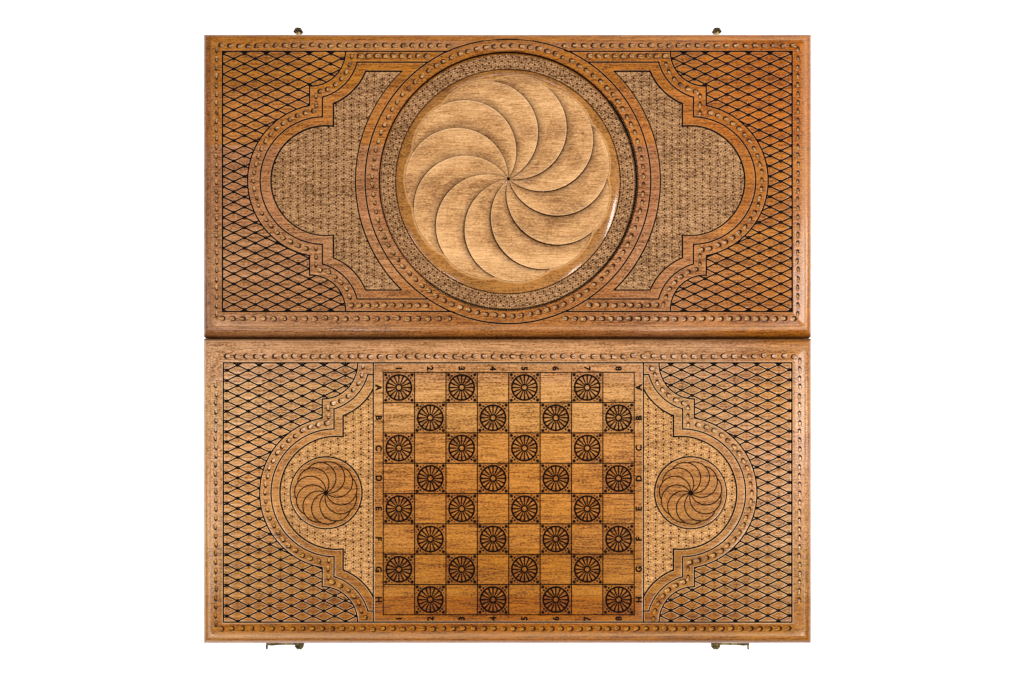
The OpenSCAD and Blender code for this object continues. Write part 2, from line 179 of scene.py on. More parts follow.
def wood_finish(name, pale, middle, dark, along="X", gloss=0.25, roughness=0.42,
                grain=0.85, flecks=0.3, mottle=0.35, band=6.0, rings=1.0, shine=0.14,
                burrs=0.0, staves=(), drift=(), patches=(), stain_and_shade_colour=None,
                deep_colour=None, painted_highlight_colour=None):
    """Varnished hardwood. The grain is stretched along one axis: growth bands as wide
    as band says, streaks 1.2 mm wide and 18 mm long, dark flecks 0.8 mm wide and 11 mm
    long, and fine figure of 1 to 2 mm. Upwards the bands are thinner by rings, so they
    follow the relief of a carving. Real pores are finer, and would not show."""
    material, tree, place = blank(name)

    def stretched(length, width, detail, warp=0.0, rise=1.0):
        one, across = 1000 / length, 1000 / width
        scale = (one, across) if along == "X" else (across, one)
        spot = add(tree, "ShaderNodeMapping", {
            "Vector": place, "Scale": scale + (across * rise,)})
        return add(tree, "ShaderNodeTexNoise", {
            "Vector": spot.outputs[0], "Scale": 1.0, "Detail": detail,
            "Roughness": 0.55, "Distortion": warp}).outputs["Fac"]

    streak, dash = stretched(18, 1.2, 2.0, 0.2), stretched(11, 0.8, 1.0)
    cloud = stretched(90, 45, 2.0, 0.4)
    # Each pattern shifts the tone about its middle.
    tone = 0.5
    for pattern, weight in ((stretched(75, band, 3.0, 0.6, rings), 0.6),
                            (streak, 1.3 * grain), (cloud, mottle),
                            (stretched(2.4, 1.0, 1.0), 1.5 * grain)):
        part = add(tree, "ShaderNodeMath", {0: pattern, 1: weight, 2: -0.5 * weight},
                   operation="MULTIPLY_ADD")
        tone = add(tree, "ShaderNodeMath", {0: part.outputs[0], 1: tone},
                   operation="ADD").outputs[0]
    colour = add(tree, "ShaderNodeValToRGB", {"Fac": tone}, [
        (0.15, dark), (0.5, middle), (0.85, pale)]).outputs["Color"]
    # Layers over that colour: tints along y and then along x, told in mm, round patches of
    # another tint, flecks, painted highlights on burrs, and the shares stored on a carving:
    # tints, painted highlights, and stain with painted shade.
    layers = []
    for axis, table, blend in ((1, staves, "CONSTANT"), (0, drift, "EASE")):
        if table:
            split = add(tree, "ShaderNodeSeparateXYZ", {0: place})
            part = add(tree, "ShaderNodeMapRange", {
                0: split.outputs[axis], 1: -case_half * MM, 2: case_half * MM})
            shade = add(tree, "ShaderNodeValToRGB", {"Fac": part.outputs[0]}, [
                ((mm + case_half) / (2 * case_half), tint) for mm, tint in table])
            shade.color_ramp.interpolation = blend
            layers.append((1.0, shade.outputs["Color"], "MULTIPLY"))
    for x, y, wide, tint in patches:
        gap = add(tree, "ShaderNodeVectorMath", {
            0: place, 1: (x * MM, y * MM, 0.04)}, operation="DISTANCE")
        fade = add(tree, "ShaderNodeMapRange", {
            0: gap.outputs["Value"], 1: wide * 0.4 * MM, 2: wide * MM, 3: 1.0, 4: 0.0})
        layers.append((fade.outputs[0], tint, "MULTIPLY"))
    fleck = add(tree, "ShaderNodeMapRange", {0: dash, 1: 0.54, 2: 0.63, 3: 0.0, 4: flecks})
    layers.append((fleck.outputs[0], dark, "MIX"))
    if burrs:
        burr = add(tree, "ShaderNodeTexNoise", {"Vector": place, "Scale": 760.0})
        lit = add(tree, "ShaderNodeMapRange", {
            0: burr.outputs["Fac"], 1: 0.54, 2: 0.66, 3: 0.0, 4: burrs})
        layers.append((lit.outputs[0], pale, "MIX"))
    for label, tint, blend in (("deep", deep_colour, "MULTIPLY"),
                               ("painted_highlight", painted_highlight_colour, "MIX"), ("stain_and_shade", stain_and_shade_colour, "MIX")):
        if tint:
            share = add(tree, "ShaderNodeAttribute", attribute_name=label).outputs["Fac"]
            if label == "stain_and_shade":
                patch = add(tree, "ShaderNodeTexNoise", {
                    "Vector": place, "Scale": 260.0, "Detail": 3.0})
                stays = add(tree, "ShaderNodeMapRange", {
                    0: patch.outputs["Fac"], 1: 0.3, 2: 0.7, 3: 0.55, 4: 1.0})
                share = add(tree, "ShaderNodeMath", {0: share, 1: stays.outputs[0]},
                            operation="MULTIPLY").outputs[0]
            layers.append((share, tint, blend))
    for share, tint, blend in layers:
        colour = add(tree, "ShaderNodeMix", {0: share, 6: colour, 7: tint},
                     data_type="RGBA", blend_type=blend).outputs[2]
    relief = add(tree, "ShaderNodeMath", {0: streak, 1: dash}, operation="SUBTRACT")
    sheen = add(tree, "ShaderNodeMapRange", {
        0: cloud, 1: 0.2, 2: 0.8, 3: roughness + 0.08, 4: roughness - 0.08})
    surfaced(tree, relief.outputs[0], 0.35, 0.00008, {
        "Base Color": colour, "IOR": 1.5, "Specular IOR Level": shine,
        "Roughness": sheen.outputs[0], "Coat Weight": gloss, "Coat Roughness": 0.14,
        "Coat IOR": 1.5})
    return material


def dress(names, finish):
    """Gives CAD nodes their finish, on both halves and both sides."""
    for name in {name.format(half=half, side=side) for name in names.split()
                 for half in ("whirl", "chess") for side in ("left", "right")}:
        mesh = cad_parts[name].data
        mesh.materials.clear()
        mesh.materials.append(finish)


# Stained beech, planed and varnished: fine short flecks and a warm, even brown.
beech = "#b98550", "#a06c3a", "#7c4c24"
dress("{half}_front_wall", wood_finish("varnished_beech_along_x", *beech))
# The faces that meet at the hinges are darkened brown near the hinge line, as painted shade
# for the gap, and left without varnish.
seam_painted_shade = [(-301, "#ffffff"), (-2, "#7c6656"), (2, "#ffffff")]
dress("{half}_spine_wall", wood_finish(
    "oiled_beech", *beech, gloss=0.0, roughness=0.8, shine=0.04, staves=seam_painted_shade))
dress("{half}_{side}_wall", wood_finish(
    "varnished_beech_along_y", *beech, along="Y", gloss=0.0, roughness=0.5, shine=0.1,
    staves=seam_painted_shade))


# Playing side: a pale veneered sheet with long points let into it, dark and light
# by turns, and notched strips at both ends that keep the pieces in line.

# Ash veneer: pale straw, with long open grain.
dress("{half}_field",
      wood_finish("ash_veneer", "#e2c08c", "#d2a970", "#b58850", gloss=0.35))
# Walnut: dark chocolate with narrow streaks.
dress("{half}_dark_points {half}_{side}_rack",
      wood_finish("walnut", "#6b4226", "#51301b", "#341c0f", gloss=0.35))
# Cherry: reddish and even.
dress("{half}_light_points",
      wood_finish("cherry", "#b0713f", "#99592c", "#74401f", gloss=0.35))


# Carved panel of the whirl half: glued hardwood staves with a moulded edge. A
# band of gouge cuts, a cartouche and a net of cut lines are carved into it, then
# stained, rubbed back and varnished, so every cut stays dark.

panel_t, panel_top = 20.0, 46.15
half_middle = 150.6
corner_r = 1.3
# Section of the moulded edge: inset from the panel edge and height. The quarter
# round keeps its sharp corners, and the cutter leaves the step behind it rounded.
edge_in, edge_foot, edge_up = 9.6, 3.0, 13.5
step_corner = 15.6
edge_turn = np.radians(np.arange(0, 91, 10))
round_in = np.r_[edge_in * (1 - np.cos(edge_turn)), 400.0]
round_up = np.r_[edge_foot + edge_up * np.sin(edge_turn), 16.5]
step_in, step_up = (9.9, 10.3, 21.8), (0.0, 1.0, 3.5)
groove_half, groove_deep = 0.74, 1.0
shoulder_half, shoulder_deep = 1.4, 0.12
groove_gaps = (-shoulder_half, -groove_half, 0, groove_half, shoulder_half)
# The painted highlights and shade of the moulding reach 15 mm in from the edge.
stamp_deep, moulding_shading_in = 0.4, 15


def polar(r, a):
    return np.c_[r * np.cos(a), r * np.sin(a)]


def arc(cx, cy, r, a0, a1, step=2.6):
    a = np.linspace(a0, a1, max(3, int(abs(a1 - a0) * r / step) + 2))
    return polar(r, a) + (cx, cy)


class Edge:
    """Moulded edge of one half: a rectangle with round corners, told by its middle and
    its half size in the places of the carving."""

    def __init__(self, middle, half):
        self.middle, self.half = np.array(middle), np.array(half)

    def inset(self, x, y, r=corner_r):
        qx = np.abs(x - self.middle[0]) - self.half[0] + r
        qy = np.abs(y - self.middle[1]) - self.half[1] + r
        return r - (np.hypot(np.maximum(qx, 0), np.maximum(qy, 0))
                    + np.minimum(np.maximum(qx, qy), 0))

    def height(self, x, y):
        return (np.interp(self.inset(x, y), round_in, round_up)
                + np.interp(self.inset(x, y, step_corner), step_in, step_up) - panel_t)

    def line(self, gap, corner=corner_r):
        """Outline that lies a gap inside the edge."""
        r = max(corner - gap, 0.0)
        x, y = self.half - gap - r
        turns = []
        for sx, sy, a in ((x, y, 0), (-x, y, 1), (-x, -y, 2), (x, -y, 3)):
            a *= math.pi / 2
            turns.append(arc(sx, sy, r, a, a + math.pi / 2, r * 0.4)
                         if r else np.array([(sx, sy)]))
        return np.concatenate(turns) + self.middle


def cartouche(lobe_x, lobe_r, bite, bite_r, step_x, top, start=()):
    """Quarter of a cartouche outline, from its top edge to the tip of its lobe."""
    bx, by = bite
    first = math.pi - math.asin((top - by) / bite_r)
    last = 2 * math.pi - math.acos((step_x - bx) / bite_r)
    lobe = math.acos((step_x - lobe_x) / lobe_r)
    return np.concatenate([np.array(start, float).reshape(-1, 2),
                           arc(bx, by, bite_r, first, last),
                           arc(lobe_x, 0, lobe_r, lobe, 0)])


def within(x, y, lobe_x, lobe_r, bite, bite_r, step_x, top):
    """True inside a cartouche, for either side of the panel."""
    x, y = np.abs(x), np.abs(y)
    middle = (x <= step_x) & (y <= top) & (np.hypot(x - bite[0], y - bite[1]) > bite_r)
    return middle | (np.hypot(x - lobe_x, y) < lobe_r)


def around(quarter, side):
    """Whole cartouche line of one side, from its lower end to its upper end."""
    lower = quarter[::-1] * (side, 1)
    return np.concatenate([quarter * (side, -1), lower[1:]])


def framed(x, y, border):
    """Distance in from the lines of a border: left, right, lower and upper one."""
    return np.minimum(np.minimum(x - border[0], border[1] - x),
                      np.minimum(y - border[2], border[3] - y))


def beside(path, gap, closed=False):
    """The path moved sideways, with mitred corners."""
    ahead = np.roll(path, -1, 0) - path
    behind = path - np.roll(path, 1, 0)
    if not closed:
        ahead[-1], behind[0] = behind[-1], ahead[0]
    ahead /= np.hypot(*ahead.T)[:, None]
    behind /= np.hypot(*behind.T)[:, None]
    dot = (ahead * behind).sum(1)
    turn = np.c_[-(ahead + behind)[:, 1], (ahead + behind)[:, 0]]
    return path + gap * turn / (1 + dot)[:, None]


def distance(x, y, path):
    """Distance of many points from a line of short segments."""
    best = np.full(np.shape(x), 1e9)
    for (ax, ay), (bx, by) in zip(path[:-1], path[1:]):
        dx, dy = bx - ax, by - ay
        t = np.clip(((x - ax) * dx + (y - ay) * dy) / (dx * dx + dy * dy), 0, 1)
        best = np.minimum(best, np.hypot(x - ax - t * dx, y - ay - t * dy))
    return best


def trench(gap):
    """Depth of a cut line with eased shoulders at a distance from its middle."""
    return np.interp(gap, (0, groove_half, shoulder_half),
                     (-groove_deep, -shoulder_deep, 0))


class Plan:
    """Points and edges of a carved face, seen from above."""

    def __init__(self):
        self.points, self.edges, self.count = [], [], 0

    def line(self, path, closed=False):
        n = len(path)
        last = n if closed else n - 1
        self.edges += [(self.count + i, self.count + (i + 1) % n) for i in range(last)]
        self.dots(path)

    def dots(self, points):
        self.points.append(np.asarray(points, float).reshape(-1, 2))
        self.count += len(self.points[-1])

    def moulded(self, rim):
        for gap in round_in[:-1]:
            self.line(rim.line(gap), True)
        for gap in step_in:
            self.line(rim.line(gap, step_corner), True)

    def groove(self, path, closed=False):
        for gap in groove_gaps:
            self.line(beside(path, gap, closed) if gap else path, closed)


def meshed(spots, edges, snap):
    """Triangles between the points that hold all the edges, wound to face up."""
    out = delaunay_2d_cdt([tuple(p) for p in spots.tolist()], edges, [], 0, snap)
    flat = np.array([tuple(p) for p in out[0]])
    tris = []
    for face in out[2]:
        trail = []
        for v in face + face[:1] if len(face) > 3 else ():
            if v in trail:
                k = trail.index(v)
                tris += [(v, trail[i], trail[i + 1]) for i in range(k + 1, len(trail) - 1)]
                trail = trail[:k]
            trail.append(v)
        if len(face) == 3:
            tris.append(tuple(face))
    tris = np.array(tris)
    ab, ac = flat[tris[:, 1]] - flat[tris[:, 0]], flat[tris[:, 2]] - flat[tris[:, 0]]
    area = ab[:, 0] * ac[:, 1] - ab[:, 1] * ac[:, 0]
    tris = np.where((area < 0)[:, None], tris[:, ::-1], tris)
    return flat, tris[area != 0], np.array([(o + [0])[0] for o in out[3]])


def open_edges(tris):
    """The edges that have a triangle on one side only."""
    ends = np.concatenate([tris[:, [0, 1]], tris[:, [1, 2]], tris[:, [2, 0]]])
    _, where, times = np.unique(np.sort(ends, 1), axis=0, return_inverse=True,
                                return_counts=True)
    return ends[times[where.ravel()] == 1]


def handed_over(piece, half):
    """Puts a carved piece in the place of the CAD panel of its half."""
    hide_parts(half + "_panel")
    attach(piece, half + "_half")


def store(mesh, label, domain, values):
    """Stores a number under a name for each point or face."""
    mesh.attributes.new(label, "FLOAT", domain).data.foreach_set(
        "value", np.array(values, np.float32))


def smoothed(mesh, sharp):
    """Smooth shading that stops at edges sharper than so many degrees."""
    mesh.polygons.foreach_set("use_smooth", np.ones(len(mesh.polygons), bool))
    mesh.set_sharp_from_angle(angle=math.radians(sharp))


def carved(name, half, plan, lift, base, middle, finishes, sort, keep=None, stain_and_shade=None,
           painted_highlight=None, sunk=None, skirt=None, sharp=32):
    """Closed plate whose top follows the plan's cut lines. lift gives the height of a
    point, keep says which faces belong to it, and sort and skirt give a face of the top
    and of the rim its finish. The faces that sunk names are stamped down with upright
    walls."""
    keep = keep or (lambda x, y: np.full(np.shape(x), True))
    flat, tris, _ = meshed(np.concatenate(plan.points), plan.edges, 1e-3)
    tris = tris[keep(*flat[tris].mean(1).T)]
    used, tris = np.unique(tris, return_inverse=True)
    tris = tris.reshape(-1, 3)
    flat = flat[used]
    # The rim is every edge with one face; it is carried down to the underside.
    rim = open_edges(tris)
    ring, local = np.unique(rim, return_inverse=True)
    local = local.reshape(-1, 2)
    n = len(flat)
    sides = np.c_[rim[:, 1], rim[:, 0], local[:, 0] + n, local[:, 1] + n]
    spread, belly, source = meshed(flat[ring], local.tolist(), 1e-6)
    belly = belly[keep(*spread[belly].mean(1).T)][:, ::-1]
    belly = source[belly] + n
    centre = flat[tris].mean(1)
    points = np.concatenate([np.c_[flat, lift(*flat.T)],
                             np.c_[flat[ring], np.full(len(ring), base)]])
    walls = np.zeros((0, 4), int)
    if sunk is not None:
        low = sunk(*centre.T)
        brim = open_edges(tris[low])
        twin = np.unique(tris[low])
        swap = np.arange(len(points))
        swap[twin] = len(points) + np.arange(len(twin))
        points = np.concatenate([points, points[twin] - (0, 0, stamp_deep)])
        walls = np.c_[brim, swap[brim][:, ::-1]]
        tris[low] = swap[tris[low]]
    points += (*middle, panel_top)
    mesh = bpy.data.meshes.new(name)
    faces = tris.tolist() + walls.tolist() + sides.tolist() + belly.tolist()
    mesh.from_pydata((points * MM).tolist(), [], faces)
    for finish in finishes:
        mesh.materials.append(finish)
    which = np.zeros(len(faces), np.int32)
    which[:len(tris)] = sort(*centre.T)
    which[len(tris):len(tris) + len(walls)] = 1
    if skirt is not None:
        which[len(tris) + len(walls):][:len(rim)] = skirt(*flat[rim].mean(1).T)
    mesh.polygons.foreach_set("material_index", which)
    for label, rule in (("stain_and_shade", stain_and_shade), ("painted_highlight", painted_highlight)):
        if rule is not None:
            store(mesh, label, "POINT", np.r_[rule(*flat.T), np.zeros(len(points) - n)])
    smoothed(mesh, sharp)
    mesh.update()
    handed_over(placed(name, mesh), half)


# Net of cut lines: cells 20.9 by 9.92 mm, a drilled dot at every crossing.
net_x, net_y = 20.9, 9.92
dot_x, dot_y = 2.0, 1.65
dot_rim = 1.45
# Lines on either side of the middle, their half length, and the step for their ends.
net_lines, net_reach, net_step = 45, 640, 0.6


def net_gaps(x, y, origins):
    """Distance from the nearest net line, and reach from the nearest dot in dots."""
    ox = np.where(x < 0, origins[0][0], origins[1][0])
    oy = np.where(x < 0, origins[0][1], origins[1][1])
    u, v = (x - ox) / net_x, (y - oy) / net_y
    a, b = u - v, u + v
    steep = math.hypot(1 / net_x, 1 / net_y)
    fa, fb = a - np.round(a), b - np.round(b)
    line = np.minimum(np.abs(fa), np.abs(fb)) / steep
    dx, dy = (fa + fb) / 2 * net_x, (fb - fa) / 2 * net_y
    return line, np.hypot(dx / dot_x, dy / dot_y)


def add_net(plan, origins, inside, quarter, border):
    """Draws the net where inside is true, with its crossings. Those within a millimetre
    of the cartouche or the border are left out."""
    for side, (ox, oy) in zip((-1, 1), origins):
        for slope in (-1, 1):
            way = np.array((net_x, slope * net_y)) / np.hypot(net_x, net_y)
            left = np.array((-way[1], way[0]))
            for k in range(-net_lines, net_lines + 1):
                for gap in groove_gaps:
                    foot = np.array((ox + k * net_x, oy)) + left * gap
                    t = np.arange(-net_reach, net_reach, net_step)
                    p = foot + way * t[:, None]
                    good = inside(*p.T) & (p[:, 0] * side > 0)
                    ends = []
                    for f in np.flatnonzero(good[1:] != good[:-1]):
                        lo, hi = t[f], t[f + 1]
                        for _ in range(9):
                            mid = (lo + hi) / 2
                            q = foot + way * mid
                            if (inside(*q) and q[0] * side > 0) == good[f]:
                                lo = mid
                            else:
                                hi = mid
                        ends.append((lo + hi) / 2)
                    for t0, t1 in zip(ends[::2], ends[1::2]):
                        if t1 - t0 > 0.4:
                            plan.line([foot + way * t0, foot + way * t1])
        a = np.linspace(0, 2 * math.pi, 11)[:-1]
        for i in range(-30, 31):
            for j in range(-60, 61):
                cx, cy = ox + i * net_x / 2, oy + j * net_y / 2
                if (i + j) % 2 or cx * side < 0 or not inside(cx, cy):
                    continue
                if min(distance(abs(cx), abs(cy), quarter), framed(cx, cy, border)) < 1.0:
                    continue
                for grow in (1.0, dot_rim):
                    plan.line(np.c_[cx + grow * dot_x * np.cos(a),
                                    cy + grow * dot_y * np.sin(a)], True)


# Gouge cuts: one tap of a half-round gouge, then a scoop towards it. They lie 9.2 mm
# apart in the straight rows and a little closer round the curves. Cuts that run
# across the grain come out slimmer and keep more stain.
bead_r, bead_length, bead_deep = 2.6, 7.6, 0.8
bead_middle, scoop_length, cross_slim = 3.6, 5.6, 0.32
wall_in, wall_r = 1.1, 1.9
# Points of a cut, along and across it: its tapering tail, and its spine.
bead_tail = np.array([(6.4, -1.7), (4.8, -2.35)])
bead_spine = np.array([(3.3, 0), (4.6, 0), (6.2, 0), (4.4, 1.2), (4.4, -1.2)])
# The hand of the carver: each cut is off by so many radians and millimetres.
hand_turn, hand_shift = 0.06, 0.18
rng = np.random.default_rng(11)


def nearest(x, y, spots):
    """For many points the nearest spot, sought in parts to save memory."""
    best = np.zeros(len(x), int)
    for k in range(0, len(x), 4000):
        part = slice(k, k + 4000)
        gap = (x[part, None] - spots[:, 0]) ** 2 + (y[part, None] - spots[:, 1]) ** 2
        best[part] = gap.argmin(1)
    return best


class GougeCuts:
    """Rows of gouge cuts, with their outlines and their depth."""

    def __init__(self):
        self.spot, self.way = np.zeros((0, 2)), np.zeros((0, 2))

    def row(self, path, pitch):
        step = np.diff(path, axis=0)
        length = np.hypot(*step.T)
        far = np.r_[0, np.cumsum(length)]
        n = int(far[-1] / pitch)
        at = (np.arange(n) + 0.1) * far[-1] / n
        k = np.clip(np.searchsorted(far, at) - 1, 0, len(length) - 1)
        part = (at - far[k]) / length[k]
        spot = path[k] + step[k] * part[:, None]
        way = step[k] / length[k][:, None]
        turn = rng.normal(0, hand_turn, n)
        way = np.c_[way[:, 0] * np.cos(turn) - way[:, 1] * np.sin(turn),
                    way[:, 0] * np.sin(turn) + way[:, 1] * np.cos(turn)]
        spot = spot + rng.normal(0, hand_shift, (n, 2))
        self.spot = np.concatenate([self.spot, spot])
        self.way = np.concatenate([self.way, way])

    def draw(self, plan):
        self.force = rng.uniform(0.85, 1.15, len(self.spot))
        self.slim = 1 - cross_slim * self.way[:, 1] ** 2
        back = np.radians(np.linspace(90, 270, 9))
        outer = np.concatenate([
            bead_r * np.c_[1 + np.cos(back), np.sin(back)], bead_tail[::-1],
            [(bead_length, 0)], bead_tail * (1, -1)])
        back = np.radians(np.linspace(60, 300, 13))
        wall = np.c_[bead_r + wall_in + wall_r * np.cos(back), wall_r * np.sin(back)]
        for p, d, slim in zip(self.spot, self.way, self.slim):
            left = np.array((-d[1], d[0])) * slim

            def put(q):
                return p + q[:, :1] * d + q[:, 1:] * left

            plan.line(put(outer), True)
            plan.line(put(beside(outer, -0.4, True)), True)
            plan.line(put(wall))
            plan.dots(put(bead_spine))

    def local(self, x, y):
        """Nearest cut's own length and width coordinates, its force and its slimness."""
        best = nearest(x, y, self.spot + self.way * bead_middle)
        dx, dy = x - self.spot[best, 0], y - self.spot[best, 1]
        (wx, wy), slim = self.way[best].T, self.slim[best]
        return dx * wx + dy * wy, (dy * wx - dx * wy) / slim, self.force[best], slim

    def brim(self, t, n):
        """Distance in from the outline of a cut."""
        reach = np.clip((t - bead_r) / (bead_length - bead_r), 0, 1)
        half = bead_r * np.sqrt(1 - reach ** 2)
        return np.where(t < bead_r, bead_r - np.hypot(t - bead_r, n), half - np.abs(n))

    def depth(self, x, y):
        t, n, force, _ = self.local(x, y)
        slope = np.clip((bead_length - t) / scoop_length, 0, 1)
        return -bead_deep * force * slope * np.clip(self.brim(t, n) / 0.9, 0, 1) ** 0.8

    def stain_and_shade(self, x, y):
        """Stain that stays along both sides of a scoop."""
        t, n, _, slim = self.local(x, y)
        return np.where((np.abs(self.brim(t, n)) < 0.35) & (t > bead_r) & (t < 7.0),
                        np.interp(slim, (0.7, 1), (0.95, 0.6)), 0)

    def sort(self, x, y):
        """2 on the steep dark wall that the gouge left, 3 in the scoop, or else 0."""
        t, n, _, _ = self.local(x, y)
        inner = np.hypot(t - bead_r - wall_in, n) < wall_r - 0.02
        wall = (self.brim(t, n) > -0.03) & (t < bead_r + wall_in + wall_r / 2) & ~inner
        scoop = (self.brim(t, n) > 0.35) & (t < 6.3) & ~wall
        return np.where(wall, 2, np.where(scoop, 3, 0))


# Stained carving: oiled beech, rubbed back to a golden brown under satin varnish. The
# staves differ in tone, and the wood turns redder towards the front edge.
# Along x it is darker on the left moulding, as painted shade. Its stain colour is stain in
# the cuts with painted shade on the moulding and at the hinge, and its highlight colour
# paints highlights on the moulding and beside the cut lines.
whirl_wood = wood_finish(
    "antiqued_beech", "#b5846a", "#9a694c", "#542f15", gloss=0.12, roughness=0.42,
    rings=5.0, stain_and_shade_colour="#3a1d0c", painted_highlight_colour="#d8ac80",
    staves=[(-1, "#f1e9d9"), (52, "#ffffff"), (104, "#f8f0ee"), (184, "#ffe8a2"),
            (238, "#f2d86b")],
    drift=[(-301, "#ded3ae"), (-288, "#ded3ae"), (-284, "#fbf9d6"), (120, "#faf3d6"),
           (258, "#f9da60")],
    patches=[(0, 4, 150, "#fff0b4")])
# Burnt cut: the lines are burnt almost black and stay matt.
burnt = wood_finish("burnt_cut", "#1c0b05", "#100603", "#070201", gloss=0.0,
                    roughness=0.8, mottle=0.2, shine=0.06)
# Stain lying in a gouge cut: dark brown and matt. It also darkens the rim along the hinge
# and the steps of the whirl, as painted shade.
stain_look = dict(gloss=0.0, roughness=0.6, mottle=0.2, shine=0.08)
cut_stain_and_shade = wood_finish("cut_stain_and_shade", "#432009", "#2b1305", "#160802", **stain_look)
# Scoop of a gouge cut: the stain was rubbed off it, so it is a little paler.
rubbed_cut = wood_finish("rubbed_cut", "#b68a5a", "#916537", "#563417", gloss=0.15,
                         roughness=0.4, grain=1.4, mottle=0.2)

# The carving was set out by hand, so it sits a little off the middle of the panel.
whirl_heart = np.array((0.4, half_middle + 0.5))
whirl_edge = Edge((-0.4, -1.92), (298.6, 149.02))
whirl_border = (-276.5, 275.3, -126.8, 125.2)
medallion_line, ring_top, ring_line, ring_foot = 138.3, 126.5, 125.3, 123.6
band_circle = 147.7
# Heights below the face: the struck grounds and their pockets, the struck ring, the
# ledge of its wall, the pocket under it, and how deep the flutes are.
ground_top, pocket = -0.8, -1.8
ring_low, ledge_low, ring_pocket, flute_deep = -3.5, -0.9, -5.6, 0.25
whirl_net = ((-255.2, 113.2), (212.0, 123.3))
outer = dict(lobe_x=178.1, lobe_r=74.0, bite=(191.2, 125.4), bite_r=33.9,
             step_x=192.1, top=126.0)
second = dict(lobe_x=178.2, lobe_r=61.8, bite=(192.0, 126.8), bite_r=47.6,
              step_x=179.7, top=114.7)
third = dict(lobe_x=176.3, lobe_r=53.2, bite=(190.6, 127.5), bite_r=57.0,
             step_x=169.1, top=106.0)
bead_line = dict(lobe_x=178.1, lobe_r=67.9, bite=(191.6, 126.0), bite_r=40.8,
                 step_x=185.9, top=120.7)


def across(r, y):
    return math.sqrt(r * r - y * y)


outer_q = cartouche(**outer)
second_q, third_q = [cartouche(**shape, start=[(across(r, shape["top"]), shape["top"])])
                     for shape, r in ((second, medallion_line), (third, band_circle))]
third_end = math.asin(third["top"] / band_circle)
band_arc = arc(0, 0, band_circle, third_end, -third_end)
whirl_plan = Plan()
whirl_plan.moulded(whirl_edge)
whirl_cuts = GougeCuts()
for side in (-1, 1):
    for quarter in (outer_q, second_q, third_q):
        whirl_plan.groove(around(quarter, side))
    whirl_plan.groove(band_arc * (side, 1))
    low, high = whirl_border[2:]
    end = whirl_border[1] if side > 0 else whirl_border[0]
    whirl_plan.groove(np.array([(across(medallion_line, high) * side, high), (end, high),
                                (end, low), (across(medallion_line, low) * side, low)]))
    whirl_plan.line(beside(around(third_q, side), 0.7 * side))
    row = around(cartouche(**bead_line, start=[(75.0, bead_line["top"])]), 1)[::-1]
    whirl_cuts.row(row * side, 8.0)
whirl_rows = np.array([(51.3, 131.3), (281.1, 131.3), (281.1, -133.5), (51.3, -133.5),
                       (-52.7, -133.5), (-282.5, -133.5), (-282.5, 131.3), (-52.7, 131.3)])
for k, pitch in ((0, 9.05), (1, 8.4), (2, 8.7), (4, 9.65), (5, 8.5), (6, 8.65)):
    whirl_cuts.row(whirl_rows[k:k + 2], pitch)
whirl_plan.groove(arc(0, 0, medallion_line, 0, 2 * math.pi)[:-1], True)
# Fine flutes go round the upright wall of the ring.
flute_count = 510
flutes = np.linspace(0, 2 * math.pi, 2 * flute_count + 1)[:-1]
for r, step in ((ring_top, 2), (ring_line, 1), (ring_line - 1.2, 1), (ring_foot, 1),
                (ring_foot - 0.15, 2)):
    whirl_plan.line(polar(r, flutes[::step]), True)
whirl_cuts.row(arc(0, 0, 131.2, math.pi, -math.pi), 8.5)
whirl_cuts.draw(whirl_plan)


def in_whirl_net(x, y):
    return ((framed(x, y, whirl_border) > 0) & ~within(x, y, **dict(outer, top=130))
            & (np.hypot(x, y) > medallion_line))


def whirl_lines(x, y):
    """Distance from the nearest cut line of the whirl half, the net left out."""
    fx, fy = np.abs(x), np.abs(y)
    r = np.hypot(x, y)
    rest = np.abs(framed(x, y, whirl_border))
    for quarter in (outer_q, second_q, third_q):
        rest = np.minimum(rest, distance(fx, fy, quarter))
    gap = np.minimum(np.abs(r - medallion_line), np.where(r > medallion_line - 1, rest, 99))
    return np.minimum(gap, distance(fx, fy, band_arc[:len(band_arc) // 2 + 2]))


def shrunk(shape, gap):
    """A cartouche shape with its whole outline moved inwards."""
    return dict(shape, lobe_r=shape["lobe_r"] - gap, bite_r=shape["bite_r"] + gap,
                step_x=shape["step_x"] - gap, top=shape["top"] - gap)


def in_whirl_ground(x, y, gap=0.0):
    return within(x, y, **shrunk(third, gap)) & (np.hypot(x, y) > band_circle + gap)


add_net(whirl_plan, whirl_net, in_whirl_net, outer_q, whirl_border)


def cut_down(x, y, lines, cuts, in_net, origins):
    """Depth of the cut lines, the gouge cuts and the net with its drilled dots."""
    net, dots = net_gaps(x, y, origins)
    cut = np.minimum(trench(lines), cuts.depth(x, y))
    carve = np.minimum(trench(net), np.interp(dots, (0, 1, dot_rim), (-1.3, -0.45, 0)))
    return np.where(in_net(x, y), np.minimum(cut, carve), cut)


def whirl_lift(x, y):
    r = np.hypot(x, y)
    lines = whirl_lines(x, y)
    z = whirl_edge.height(x, y) + cut_down(x, y, lines, whirl_cuts, in_whirl_net, whirl_net)
    wave = np.cos(flute_count * np.arctan2(y, x))
    tooth = flute_deep * wave * (np.abs(r - ring_line) < 0.1)
    wall = np.interp(r, (ring_foot, ring_line, ring_top), (ring_low, ledge_low, 0)) + tooth
    z = np.where(r < ring_top - 0.01, np.minimum(z, wall), z)
    z = np.where(r < ring_foot - 0.1, ring_pocket, z)
    return np.where(in_whirl_ground(x, y), np.where(lines > 0.6, pocket, -groove_deep), z)


def burnt_net(x, y, in_net, origins):
    net, dots = net_gaps(x, y, origins)
    return in_net(x, y) & ((net < groove_half) | (dots < 1))


